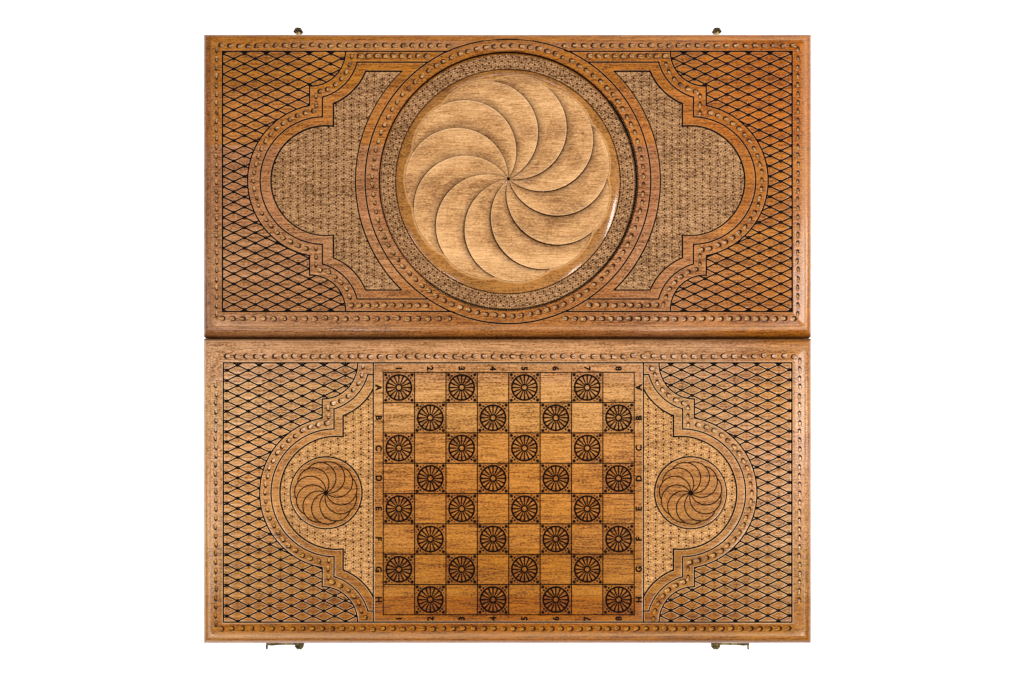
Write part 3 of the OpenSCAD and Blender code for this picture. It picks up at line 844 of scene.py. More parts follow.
def whirl_sort(x, y):
    r, a = np.hypot(x, y), np.arctan2(y, x)
    black = (whirl_lines(x, y) < groove_half) | burnt_net(x, y, in_whirl_net, whirl_net)
    wall = (r < ring_top) & (r > ring_foot - 1)
    # The ring wall is darker on its lower right, as painted shade: dark ticks over its
    # flutes with paler wood between them, and plain wood elsewhere.
    struck = np.cos(a + 0.8) > 0.1
    tooth = (np.cos(flute_count * a + 1.57) > -0.4) & struck
    black |= wall & ((np.abs(r - ring_line + 0.45) < 0.45) | tooth)
    return np.where(black, 1, np.where(wall, np.where(struck, 3, 0), whirl_cuts.sort(x, y)))


def moulding_highlight_and_shade(rim, sides, x, y):
    """Painted highlight (above zero) or painted shade (below) across the moulding, told for
    its left, right, lower and upper side by the inset from the edge and the share."""
    fx, fy = x - rim.middle[0], y - rim.middle[1]
    reach = np.array((rim.half[0] + fx, rim.half[0] - fx, rim.half[1] + fy,
                      rim.half[1] - fy))
    level = np.array([np.interp(r, *zip(*side)) for r, side in zip(reach, sides)])
    level = np.take_along_axis(level, reach.argmin(0)[None], 0)[0]
    return np.where(reach.min(0) < moulding_shading_in, level, 0)


def moulding_shade_and_cut_stain(rim, cuts, seam, sides):
    """Painted shade on the moulding and along the hinge gap, and stain in the gouge cuts.
    """
    def rule(x, y):
        # Painted shade darkens the moulding next to the gap at the hinge.
        hinge = np.interp(np.abs(y - rim.middle[1] + seam * rim.half[1]),
                          (0.6, 2.4), (0.9, 0))
        painted_shade = np.maximum(hinge, -moulding_highlight_and_shade(rim, sides, x, y))
        return np.maximum(painted_shade, cuts.stain_and_shade(x, y))
    return rule


def rubbed(rim, lines, in_net, origins, lip, sides):
    """Painted highlights: paler edges beside the cut lines and on the moulding."""
    def rule(x, y):
        gap = lines(x, y)
        gap = np.where(in_net(x, y), np.minimum(gap, net_gaps(x, y, origins)[0]), gap)
        lips = np.interp(gap, (0.3, groove_half, shoulder_half), (0, lip, 0))
        return np.maximum(lips, moulding_highlight_and_shade(rim, sides, x, y))
    return rule


# Painted highlights and painted shade across the moulding of the whirl half, side by side.
whirl_moulding_shading = (
    [(0, 0.1), (3, 0), (4.5, -0.15), (7, -0.1), (9.6, 0.1), (12, 0.15), (15, 0)],
    [(0, 0), (5, 0), (7, 0.25), (9.6, 0.3), (11.6, 0), (15, 0)],
    [(1, -0.35), (3, -0.2), (5, -0.15), (8, 0), (9.6, 0.2), (11.6, 0), (15, 0)],
    [(0, 0.15), (2, 0.05), (5, 0), (9.6, 0), (11.6, -0.2), (15, 0)])
# The rim faces along the hinge take the dark stain, as painted shade in the gap between the
# halves.
carved("whirl_board", "whirl", whirl_plan, whirl_lift, -panel_t, whirl_heart,
       [whirl_wood, burnt, cut_stain_and_shade, rubbed_cut], whirl_sort,
       stain_and_shade=moulding_shade_and_cut_stain(whirl_edge, whirl_cuts, 1, whirl_moulding_shading),
       painted_highlight=rubbed(whirl_edge, whirl_lines, in_whirl_net, whirl_net, 0.25, whirl_moulding_shading),
       skirt=lambda x, y: np.where(y < -149, 2, 0))


# Matted grounds of the whirl half: the wood inside each cartouche is cut down by
# less than a millimetre and struck all over with a star punch, tap beside tap.

punch_x, punch_y = 7.4, 6.3
punch_r, punch_deep = 1.2, 0.9
ray_middle, ray_half, ray_width, ray_deep = 2.45, 0.85, 0.6, 0.5
ground_gap = 0.75


class Punching:
    """Taps of a star punch: a round point with six short rays."""

    def __init__(self, spots):
        n = len(spots)
        self.spot = np.asarray(spots, float) + rng.normal(0, 0.22, (n, 2))
        self.turn = math.pi / 6 + rng.normal(0, 0.15, n)
        self.force = rng.uniform(0.75, 1.15, n)

    def draw(self, plan):
        ring = np.radians(np.arange(0, 360, 60))
        reach = np.array((ray_middle - ray_half, ray_middle, ray_middle + ray_half,
                          ray_middle))
        over = np.array((0, ray_width, 0, -ray_width))
        for spot, turn in zip(self.spot, self.turn):
            plan.line(spot + polar(punch_r, ring), True)
            hearts = [spot]
            for a in turn + ring:
                way = np.array((math.cos(a), math.sin(a)))
                left = (-way[1], way[0])
                plan.line(spot + np.outer(reach, way) + np.outer(over, left), True)
                hearts.append(spot + ray_middle * way)
            plan.dots(hearts)

    def marks(self, x, y):
        """Share of the full depth in the nearest tap's point and in its rays."""
        best = nearest(x, y, self.spot)
        dx, dy = x - self.spot[best, 0], y - self.spot[best, 1]
        r = np.hypot(dx, dy)
        sixth = math.pi / 3
        a = (np.arctan2(dy, dx) - self.turn[best] + sixth / 2) % sixth - sixth / 2
        along, over = r * np.cos(a) - ray_middle, np.abs(r * np.sin(a))
        point = np.clip(1 - r / punch_r, 0, 1)
        ray = np.clip(1 - np.abs(along) / ray_half - over / ray_width, 0, 1)
        return point * self.force[best], ray * self.force[best]

    def lift(self, level):
        def height(x, y):
            point, ray = self.marks(x, y)
            return level - punch_deep * point - ray_deep * ray
        return height

    def sort(self, x, y):
        point, ray = self.marks(x, y)
        return np.where(point > 0.02, 1, np.where(ray > 0.02, 2, 0))


def ground_finishes(names, wood, point, ray, **look):
    """Struck wood, its points and its rays: the stain stays in both."""
    return [wood_finish("punched" + names + "ground", *wood, gloss=0.05, roughness=0.5,
                        mottle=0.2, **look),
            wood_finish("punched" + names + "point", *point, **stain_look),
            wood_finish("punched" + names + "ray", *ray, gloss=0.0, roughness=0.5,
                        mottle=0.2)]


# Struck ground: the punch bruises the wood and the stain stays in it, so it looks greyer
# and duller than the carving around it, with pale specks between the marks painted as
# highlights on the burrs.
dull_ground = ground_finishes(
    "_", ("#b0865d", "#835d38", "#503215"), ("#54290d", "#3c1b08", "#241004"),
    ("#6a4220", "#502d10", "#361b06"), grain=0.9, flecks=0.2, burrs=1.15)


def grounds(half, paths, region, columns, reach, middle, finishes):
    """Two slabs with a struck top that fill the pockets of a panel. Every other column
    of taps is set lower by half a step."""
    for side, label in ((-1, "_left_ground"), (1, "_right_ground")):
        def inside(x, y, gap=ground_gap, side=side):
            return region(x, y, gap) & (x * side > 0)

        plan = Plan()
        for line in paths(side):
            plan.line(line, True)
        spots = [(x * side, y) for i, x in enumerate(np.arange(*columns, punch_x))
                 for y in np.arange(i % 2 * punch_y / 2 - reach, reach, punch_y)]
        work = Punching([p for p in spots if inside(*p, 1.0)])
        work.draw(plan)
        carved(half + label, half, plan, work.lift(ground_top), pocket + 0.01, middle,
               finishes, work.sort, keep=inside, sharp=60)


whirl_slab = shrunk(third, ground_gap)
slab_circle, slab_top = band_circle + ground_gap, whirl_slab["top"]
slab_q = cartouche(**whirl_slab, start=[(across(slab_circle, slab_top), slab_top)])
slab_end = math.asin(slab_top / slab_circle)
slab_arc = arc(0, 0, slab_circle, slab_end, -slab_end)[1:-1]
grounds("whirl",
        lambda side: [np.concatenate([around(slab_q, side), slab_arc * (side, 1)])],
        in_whirl_ground, (85, 235), 112, whirl_heart, dull_ground)


# Struck ring round the medallion: it lies 3.5 mm down, and its taps follow the
# circle in three rows.

slope_foot, ring_pitch = 109.2, 6.4
ring_plan = Plan()
circle = np.linspace(0, 2 * math.pi, 361)[:-1]
for r in (ring_foot - 0.25, slope_foot + 0.5, slope_foot + 0.05):
    ring_plan.line(polar(r, circle), True)
ring_spots = []
for k, r in enumerate((112.1, 116.6, 121.0)):
    turns = np.linspace(0, 2 * math.pi, int(2 * math.pi * r / ring_pitch) + 1)[:-1]
    turns += k * 0.4 / r * ring_pitch
    ring_spots += list(polar(r, turns))
ring_work = Punching(ring_spots)
ring_work.draw(ring_plan)


def ring_lift(x, y):
    inner = np.hypot(x, y) < slope_foot + 0.3
    return np.where(inner, ring_low - 0.7, ring_work.lift(ring_low)(x, y))


def ring_sort(x, y):
    return np.where(np.hypot(x, y) < slope_foot + 0.48, 1, ring_work.sort(x, y))


carved("whirl_ring", "whirl", ring_plan, ring_lift, -5.55, whirl_heart, dull_ground,
       ring_sort, sharp=60,
       keep=lambda x, y: (np.hypot(x, y) < ring_foot - 0.2) & (np.hypot(x, y) > slope_foot))


# Medallion: eleven curved blades turn about the middle. Each has a crisp ridge and
# sinks to the foot of the next one; round them a smooth slope falls to the ring.

whirl_r, blades = 99.7, 11
blade_turn = 2 * math.pi / blades
blade_phase = math.radians(16.7)
eye_r = 1.5
# The slope starts behind a narrow brim. Its underside is the pocket of the panel.
brim_out, brim_low, slope_drop, underside = 1.3, -1.5, 2.1, -5.5
slope_shares = (0.16, 0.3, 0.44, 0.57, 0.69, 0.8, 0.88, 0.95, 1.0)


def blade_height(rho, u):
    t = rho / whirl_r
    return -0.3 - 0.7 * t * t - 2.4 * math.sin(math.radians(18 + 132 * t)) * u ** 1.8


def blade_mesh():
    """One blade with its share of the slope, as a closed wedge about the middle."""
    points, stains_and_shade, painted_highlight, faces, kinds = [], [], [], [], []

    def point(rho, angle, z, stain_and_shade=0.0, highlight_share=0.0):
        points.append((rho * math.cos(angle) * MM, rho * math.sin(angle) * MM, z * MM))
        stains_and_shade.append(stain_and_shade)
        painted_highlight.append(highlight_share)
        return len(points) - 1

    def face(kind, *corners):
        faces.append([c for k, c in enumerate(corners) if c != corners[k - 1]])
        kinds.append(kind)

    steps = [0, 0.012, 0.05, 0.12, 0.22, 0.34, 0.46, 0.58, 0.7, 0.81, 0.89, 0.94, 0.968,
             1.0]
    corner = blade_turn / 2
    inner = [math.acos(eye_r / whirl_r), math.acos(3.6 / whirl_r)]
    inner += list(np.linspace(math.acos(7.5 / whirl_r), corner, 22))
    heart = point(0, 0, -1.5, 0.9)
    rows = []
    for j in range(len(inner) + 6):
        row = []
        for u in steps:
            if j < len(inner):
                alpha = inner[j]
            elif u == 1.0:
                row.append(rows[-1][-1])
                continue
            else:
                alpha = corner + (u * corner - corner) * (j - len(inner) + 1) / 6
            rho = whirl_r * math.cos(alpha)
            z = blade_height(rho, 0) - 0.14 if u in (0, 1.0) else blade_height(rho, u)
            # Darker towards each valley, stain with painted shade, and darker near the
            # middle; paler along each ridge, a painted highlight.
            stain_and_shade = 0.0 if u == 0 else (0.8 * max(0.0, (u - 0.62) / 0.38) ** 1.5
                                       + 0.4 * math.exp(-rho / 14))
            highlight_share = float(np.interp(u, (0, 0.05, 0.34), (0.4, 0.1, 0)))
            row.append(point(rho, blade_phase + u * blade_turn - alpha, z, stain_and_shade, highlight_share))
        rows.append(row)
    for k in range(len(steps) - 1):
        face("burnt", heart, rows[0][k], rows[0][k + 1])
        # The last strip of each blade climbs to the next ridge; it takes the dark stain,
        # which is stain and painted shade.
        for low, high in zip(rows[:-1], rows[1:]):
            face("stained" if k == len(steps) - 2 else "", low[k], high[k], high[k + 1],
                 low[k + 1])
    brim = [row[0] for row in rows[len(inner) - 1:]] + rows[-1][1:]
    last = brim
    # Two lines of the brim, nine down the slope and two down its edge.
    for step in range(13):
        row = []
        for b in brim:
            x, y, _ = points[b]
            rho, angle = math.hypot(x, y) / MM, math.atan2(y, x)
            if step < 2:
                out, z = rho + (0.3, brim_out)[step], (-1.45, brim_low)[step]
            elif step < 11:
                s = slope_shares[step - 2]
                out = rho + brim_out + (slope_foot - 0.5 - rho - brim_out) * s
                z = brim_low - slope_drop * s ** 1.8
            else:
                out, z = slope_foot - 0.05, (-4.2, underside)[step - 11]
            # A painted shade marks the step behind the ridges, and a painted highlight the
            # brim.
            row.append(point(out, angle, z, 0.3 if step == 0 else 0.0,
                             0.35 if step == 1 else 0.0))
        for k in range(len(brim) - 1):
            face("burnt" if step >= 11 else "slope" if step >= 1 else "",
                 last[k], row[k], row[k + 1], last[k + 1])
        last = row
    foot = point(0, 0, underside)
    for k in range(len(last) - 1):
        face("", foot, last[k + 1], last[k])
    mesh = bpy.data.meshes.new("whirl_medallion")
    mesh.from_pydata(points, [], faces)
    store(mesh, "stain_and_shade", "POINT", stains_and_shade)
    store(mesh, "painted_highlight", "POINT", painted_highlight)
    for label in ("burnt", "slope", "stained"):
        store(mesh, label, "FACE", [kind == label for kind in kinds])
    return mesh


# Whirl: rubbed back after staining, so it is paler than the rest, and its growth
# rings show as broad curves on the relief.
# On the whirl the stain colour darkens the valleys and the middle, stain with painted
# shade, and the highlight colour paints highlights along the ridges and the brim.
rubbed_wood = wood_finish("rubbed_beech", "#d1a16e", "#ae7f4f", "#6e4523", gloss=0.15,
                          roughness=0.4, grain=0.6, mottle=1.1, band=22.0, rings=16.0,
                          flecks=0.3, stain_and_shade_colour="#432408", painted_highlight_colour="#e6bd8c")
# Slope round the whirl: it keeps a golden glaze and shines. Its pale colour is the painted
# highlight along the brim.
glazed_wood = wood_finish("glazed_beech", "#a86f34", "#8b5a21", "#5e340c", gloss=0.4,
                          roughness=0.42, mottle=0.8, painted_highlight_colour="#e0b480")


def grown(name, mesh, tree, values):
    """Runs a node tree on a mesh and keeps its result as a plain mesh."""
    piece = placed(name, mesh)
    grow = piece.modifiers.new("grow", "NODES")
    grow.node_group = tree
    for item in tree.interface.items_tree:
        if item.item_type == "SOCKET" and item.in_out == "INPUT" and item.name in values:
            grow[item.identifier] = values[item.name]
    view = piece.evaluated_get(bpy.context.evaluated_depsgraph_get())
    piece.data = bpy.data.meshes.new_from_object(view)
    piece.modifiers.clear()
    piece.data.name = name
    smoothed(piece.data, 32)
    return piece


def node_tree(name, sockets):
    """Empty geometry tree with its named inputs; gives the tree and those inputs."""
    tree = bpy.data.node_groups.new(name, "GeometryNodeTree")
    ends = [("Geometry", "OUTPUT", "Geometry"), ("Geometry", "INPUT", "Geometry")]
    for label, end, kind in ends + [(label, "INPUT", kind) for label, kind in sockets]:
        tree.interface.new_socket(label, in_out=end, socket_type="NodeSocket" + kind)
    return tree, add(tree, "NodeGroupInput").outputs


def marked_faces(tree, label):
    """The faces that carry a mark."""
    mark = add(tree, "GeometryNodeInputNamedAttribute", {"Name": label})
    return add(tree, "FunctionNodeCompare", {
        "A": mark.outputs["Attribute"], "B": 0.5}, operation="GREATER_THAN").outputs[0]


def painted(tree, shape, wood, rules):
    """Last nodes of a tree: one finish for all, then one for each marked face."""
    last = add(tree, "GeometryNodeSetMaterial", {"Geometry": shape, "Material": wood})
    for label, finish in rules:
        last = add(tree, "GeometryNodeSetMaterial", {
            "Geometry": last.outputs[0], "Selection": marked_faces(tree, label),
            "Material": finish})
    add(tree, "NodeGroupOutput", {"Geometry": last.outputs[0]})


tree, feed = node_tree("blades_in_a_whirl", [
    ("Blades", "Int"), ("Middle", "Vector"), ("Weld", "Float"), ("Wood", "Material"),
    ("Burnt", "Material"), ("Slope", "Material"), ("Stained", "Material")])
spots = add(tree, "GeometryNodePoints", {
    "Count": feed["Blades"], "Position": feed["Middle"]})
share = add(tree, "ShaderNodeMath", {0: 2 * math.pi, 1: feed["Blades"]},
            operation="DIVIDE")
number = add(tree, "GeometryNodeInputIndex")
turn = add(tree, "ShaderNodeMath", {0: number.outputs[0], 1: share.outputs[0]},
           operation="MULTIPLY")
copies = add(tree, "GeometryNodeInstanceOnPoints", {
    "Points": spots.outputs[0], "Instance": feed["Geometry"],
    "Rotation": add(tree, "ShaderNodeCombineXYZ", {2: turn.outputs[0]}).outputs[0]})
real = add(tree, "GeometryNodeRealizeInstances", {0: copies.outputs[0]})
welded = add(tree, "GeometryNodeMergeByDistance", {
    "Geometry": real.outputs[0], "Distance": feed["Weld"]})
painted(tree, welded.outputs[0], feed["Wood"], [
    (label.lower(), feed[label]) for label in ("Burnt", "Slope", "Stained")])
medallion = grown("whirl_medallion", blade_mesh(), tree, {
    "Blades": blades, "Weld": 0.00002, "Wood": rubbed_wood, "Burnt": burnt,
    "Slope": glazed_wood, "Stained": cut_stain_and_shade,
    "Middle": (*whirl_heart * MM, panel_top * MM)})
# The whirl was struck 1.8 mm off the middle of its ring, so the slope is uneven.
spread = np.empty(len(medallion.data.vertices) * 3)
medallion.data.vertices.foreach_get("co", spread)
spread = spread.reshape(-1, 3)
gone = np.hypot(*(spread[:, :2] - whirl_heart * MM).T) / MM
struck_off = np.array((0.4, 1.8))
spread[:, :2] += np.outer(np.clip((slope_foot - 0.6 - gone) / 7, 0, 1), struck_off * MM)
medallion.data.vertices.foreach_set("co", spread.ravel())
handed_over(medallion, "whirl")


# Carved panel of the chess half: the same staves and moulding, with two smaller
# cartouches, a rosette of cut lines in each, and a lettered strip round the squares.

# Same beech as the other half, but its staves run from pale at the hinge to a deep
# orange at the front edge, and it is duller round the two cartouches.
chess_staves = [(-301, "#cda940"), (-252, "#ddc77b"), (-205, "#ecdaa6"),
                (-165, "#f3e0b4"), (-128, "#f9ecd0"), (-92, "#fffff8"), (-46, "#f6f3ff")]
# Its stain colour is stain in the cuts with painted shade on the moulding and at the hinge,
# and its highlight colour paints highlights on the moulding and beside the cut lines.
chess_wood = wood_finish(
    "antiqued_beech_staves", "#cca089", "#b18360", "#60381a", gloss=0.12, roughness=0.42,
    rings=5.0, stain_and_shade_colour="#3a1d0c", deep_colour="#e6dcd2", painted_highlight_colour="#e6c094",
    staves=chess_staves,
    drift=[(-258, "#fffcda"), (-180, "#e6dbae"), (-90, "#f6eab8"), (90, "#f6eab8"),
           (180, "#e3dab2"), (258, "#f3f5f5")],
    patches=[(280, -40, 95, "#f0d488"), (0, -185, 175, "#f9f0c6")])
# Scoops of this half: rubbed as bare as those of the other one, on paler staves.
pale_cut = wood_finish("rubbed_cut_of_the_pale_staves", "#d2ac88", "#b1885c", "#734c2c",
                       gloss=0.12, roughness=0.42, grain=1.3, mottle=0.2,
                       staves=chess_staves)

chess_heart = np.array((0.8, -0.7 - half_middle))
chess_edge = Edge((-0.8, 1.17), (298.6, 149.97))
chess_border = (-276.0, 274.6, -125.2, 125.9)
strip_x = 130.8
square_x, square_y = 30.39, 29.35
field_x, field_y = 4 * square_x, 4 * square_y
field_off = (0.4, -0.7)
rosette_x, rosette_r, rosette_whirl = 176.6, 34.8, 30.4
rosette_phase, rosette_half = math.radians(13.0), 0.55
chess_net = ((-262.3, 123.6), (199.0, 124.1))
chess_outer = dict(lobe_x=167.3, lobe_r=73.5, bite=(180.3, 125.2), bite_r=34.3,
                   step_x=180.2, top=125.5)
chess_second = dict(lobe_x=167.9, lobe_r=61.9, bite=(181.8, 126.9), bite_r=47.4,
                    step_x=168.8, top=114.5)
chess_third = dict(lobe_x=166.5, lobe_r=54.8, bite=(178.7, 125.0), bite_r=53.5,
                   step_x=160.1, top=101.17)
chess_beads = dict(lobe_x=167.5, lobe_r=67.8, bite=(181.0, 126.0), bite_r=40.8,
                   step_x=174.2, top=120.5)
chess_outer_q = cartouche(**chess_outer)
chess_quarters = (
    chess_outer_q, cartouche(**chess_second, start=[(strip_x, chess_second["top"])]),
    cartouche(**chess_third), np.array([(strip_x, 125.5), (strip_x, 0)]))


def in_chess_ground(x, y, gap=0.0):
    x, y = np.abs(x), np.abs(y)
    return (within(x, y, **shrunk(dict(chess_third, top=126), gap))
            & (x > strip_x + gap) & (np.hypot(x - rosette_x, y) > rosette_r + gap))


def in_chess_net(x, y):
    return (framed(x, y, chess_border) > 0) & ~within(x, y, **dict(chess_outer, top=130))


rosette_lines = []
for k in range(blades):
    tip = rosette_phase + k * blade_turn
    a = tip + np.linspace(-math.pi / 2, blade_turn / 2, 26)
    rosette_lines.append(polar(rosette_whirl * np.cos(a - tip), a))

chess_plan = Plan()
chess_plan.moulded(chess_edge)
left, right, low, high = chess_border
chess_plan.groove(np.array([(right, high), (left, high), (left, low), (right, low)]), True)
chess_cuts = GougeCuts()
for side in (-1, 1):
    for quarter in chess_quarters:
        chess_plan.groove(around(quarter, side))
    ring = arc(0, 0, rosette_r, 0, 2 * math.pi, 1.8)[:-1]
    for gap in (*groove_gaps[:-1], ground_gap - 0.05):
        chess_plan.line(ring * (1 + gap / rosette_r) + (side * rosette_x, 0), True)
    for line in rosette_lines:
        for gap in (-rosette_half, 0, rosette_half):
            chess_plan.line((beside(line, gap) if gap else line) + (side * rosette_x, 0))
    row = cartouche(**chess_beads, start=[(strip_x + 4, chess_beads["top"])])
    chess_cuts.row(around(row, 1)[::-1] * side, 8.1)
chess_rows = np.array([(-276.5, 132.2), (0, 132.2), (282.5, 132.2), (282.5, -109.0),
                       (275.5, -131.6), (0, -131.6), (-283.7, -131.6), (-283.7, 109.0)])
for k, pitch in ((0, 9.15), (1, 9.65), (2, 8.6), (4, 9.05), (5, 9.65), (6, 8.5)):
    chess_cuts.row(chess_rows[k:k + 2], pitch)
chess_cuts.draw(chess_plan)
corners = np.array([(1, 1), (-1, 1), (-1, -1), (1, -1)])
for grow in (0.5, 0.03, -0.03):
    chess_plan.line(corners * (field_x + grow, field_y + grow) + field_off, True)
add_net(chess_plan, chess_net, in_chess_net, chess_outer_q, chess_border)


def chess_lines(x, y):
    """Distance from the nearest wide cut line of the chess half."""
    fx, fy = np.abs(x), np.abs(y)
    gap = np.minimum(np.abs(framed(x, y, chess_border)),
                     np.abs(np.hypot(fx - rosette_x, fy) - rosette_r))
    for quarter in chess_quarters:
        gap = np.minimum(gap, distance(fx, fy, quarter))
    return gap


def rosette_gap(x, y):
    """Distance from the thin arcs of the nearer rosette."""
    lx = x - np.where(x > 0, rosette_x, -rosette_x)
    gap = np.full(np.shape(x), 99.0)
    near = np.flatnonzero(np.hypot(lx, y) < rosette_r)
    lx, ly = lx[near], y[near]
    for line in rosette_lines:
        gap[near] = np.minimum(gap[near], distance(lx, ly, line))
    gap[near] = np.minimum(gap[near], np.maximum(np.hypot(lx, ly) - 0.9, 0))
    return gap


def off_field(x, y):
    """Distance outside the block of squares; below 0 is inside."""
    return np.maximum(np.abs(x - field_off[0]) - field_x,
                      np.abs(y - field_off[1]) - field_y)


def chess_lift(x, y):
    lines = chess_lines(x, y)
    cut = cut_down(x, y, lines, chess_cuts, in_chess_net, chess_net)
    cut = np.minimum(cut, np.interp(rosette_gap(x, y), (0, rosette_half), (-0.7, 0)))
    z = chess_edge.height(x, y) + cut
    field = off_field(x, y)
    z = np.where(field < 0.4, np.where(field < 0, pocket, -0.75), z)
    return np.where(in_chess_ground(x, y), np.where(lines > 0.6, pocket, -groove_deep), z)


sign_size, sign_bold = 8.2, 0.42


def letter(sign):
    """Outline of one sign as short edges in mm, about its own middle."""
    text = bpy.data.curves.new("sign", "FONT")
    text.body, text.size, text.offset, text.resolution_u = sign, sign_size, sign_bold, 3
    holder = placed("sign", text)
    view = holder.evaluated_get(bpy.context.evaluated_depsgraph_get())
    mesh = bpy.data.meshes.new_from_object(view)
    spots = np.array([tuple(v.co)[:2] for v in mesh.vertices])
    times = {}
    for polygon in mesh.polygons:
        for key in polygon.edge_keys:
            times[key] = times.get(key, 0) + 1
    used, edges = np.unique([key for key, n in times.items() if n == 1],
                            return_inverse=True)
    spots = spots[used]
    bpy.data.objects.remove(holder)
    bpy.data.meshes.remove(mesh)
    return spots - (spots.min(0) + spots.max(0)) / 2, edges.reshape(-1, 2)


sign_x, sign_y = 125.9, 121.1
signs = []
for k in range(8):
    row_y, column_x = (3.5 - k) * square_y, (k - 3.5) * square_x
    signs += [("ABCDEFGH"[k], -sign_x, row_y, -1), ("ABCDEFGH"[k], sign_x, row_y, 1),
              ("12345678"[k], column_x, sign_y, -1), ("12345678"[k], column_x, -sign_y, 1)]
outlines = []
for sign, x, y, turned in signs:
    spots, edges = letter(sign)
    spots = np.c_[-spots[:, 1], spots[:, 0]] * turned + (x, y) + field_off
    outlines.append((spots, edges))
    chess_plan.edges += (edges + chess_plan.count).tolist()
    chess_plan.dots(spots)


def stamped(x, y):
    """True inside a letter or a number."""
    inside = np.zeros(np.shape(x), bool)
    for spots, edges in outlines:
        low, high = spots.min(0), spots.max(0)
        near = np.flatnonzero((x > low[0]) & (x < high[0]) & (y > low[1]) & (y < high[1]))
        (ax, ay), (bx, by) = spots[edges[:, 0]].T[:, None], spots[edges[:, 1]].T[:, None]
        py = y[near, None]
        cross = (ay > py) != (by > py)
        with np.errstate(divide="ignore", invalid="ignore"):
            at = ax + (py - ay) / (by - ay) * (bx - ax)
        inside[near] ^= ((cross & (x[near, None] < at)).sum(1) % 2).astype(bool)
    return inside


def chess_sort(x, y):
    field = off_field(x, y)
    black = ((chess_lines(x, y) < groove_half) | (rosette_gap(x, y) < rosette_half - 0.02)
             | stamped(x, y) | burnt_net(x, y, in_chess_net, chess_net)
             | (field > -1) & (field < 0.48))
    return np.where(black, 1, chess_cuts.sort(x, y))


# Painted highlights and painted shade across the moulding of the chess half, side by side.
chess_moulding_shading = (
    [(0, 0.5), (3, 0.35), (5, 0), (9.6, 0.1), (12, 0), (15, 0)],
    [(0, -0.2), (4, -0.22), (7, -0.12), (9.6, 0.05), (12, 0.1), (15, 0)],
    [(0, -0.1), (2.7, -0.1), (4, 0), (6, 0.2), (9.6, 0.3), (12, 0.1), (15, 0)],
    [(0.5, -0.4), (2.6, -0.45), (4.6, -0.3), (6, -0.15), (7.5, 0), (9.6, 0.15), (12, 0),
     (15, 0)])
# The rim faces along the hinge take the dark stain, as painted shade in the gap between the
# halves.
carved("chess_board", "chess", chess_plan, chess_lift, -panel_t, chess_heart,
       [chess_wood, burnt, cut_stain_and_shade, pale_cut], chess_sort, sunk=stamped,
       stain_and_shade=moulding_shade_and_cut_stain(chess_edge, chess_cuts, -1, chess_moulding_shading),
       painted_highlight=rubbed(chess_edge, chess_lines, in_chess_net, chess_net, 0.55, chess_moulding_shading),
       skirt=lambda x, y: np.where(y > 149, 2, 0))

# Its two struck grounds lie round the rosettes, and are more golden.
golden_ground = ground_finishes(
    "_pale_", ("#cd9c66", "#a3733e", "#6b431c"), ("#562d0c", "#3e1e06", "#241003"),
    ("#86582a", "#6a4119", "#4a2a0c"), grain=0.7, flecks=0.15, burrs=0.8)
slab = shrunk(chess_third, ground_gap)
slab["top"] = slab["bite"][1] - across(
    slab["bite_r"], slab["bite"][0] - strip_x - ground_gap)
slab_q = cartouche(**slab)
hole = arc(0, 0, rosette_r + ground_gap, 0, 2 * math.pi, 1.8)[:-1]
grounds("chess", lambda side: [around(slab_q, side), hole + (side * rosette_x, 0)],
        in_chess_ground, (128, 225), 108, chess_heart, golden_ground)


# Chess squares: eight by eight, parted by thin cut lines. Every other one carries a
# wheel of sixteen spokes with small dots in its corners, burnt into the wood.

wheel_r, wheel_line, hub_r, hub_line = 12.2, 1.8, 2.8, 1.4
spokes, spoke_in, spoke_half = 16, 3.5, (0.52, 0.95)
wheel_deep, tile_low = 0.6, -0.75
# Dots in a corner of a square: how far in from its two sides, and their radius.
corner_dots = [(2.5, 2.4, 1.75), (5.7, 3.5, 1.15), (3.7, 5.6, 1.15), (8.3, 2.0, 0.65),
               (2.1, 7.8, 0.65)]


def wheel_gap(x, y):
    """How far a point lies outside the burnt lines of the wheel; below 0 is inside."""
    r = np.hypot(x, y)
    turn = 2 * math.pi / spokes
    spoke = (np.arctan2(y, x) + turn / 2) % turn - turn / 2
    out = np.minimum(np.abs(r - wheel_r) - wheel_line / 2, np.abs(r - hub_r) - hub_line / 2)
    bar = np.abs(r * np.sin(spoke)) - np.interp(r, (spoke_in, wheel_r), spoke_half)
    out = np.minimum(out, np.where((r > spoke_in) & (r < wheel_r), bar, 9))
    for dx, dy, size in corner_dots:
        out = np.minimum(out, np.hypot(square_x / 2 - np.abs(x) - dx,
                                       square_y / 2 - np.abs(y) - dy) - size)
    return out


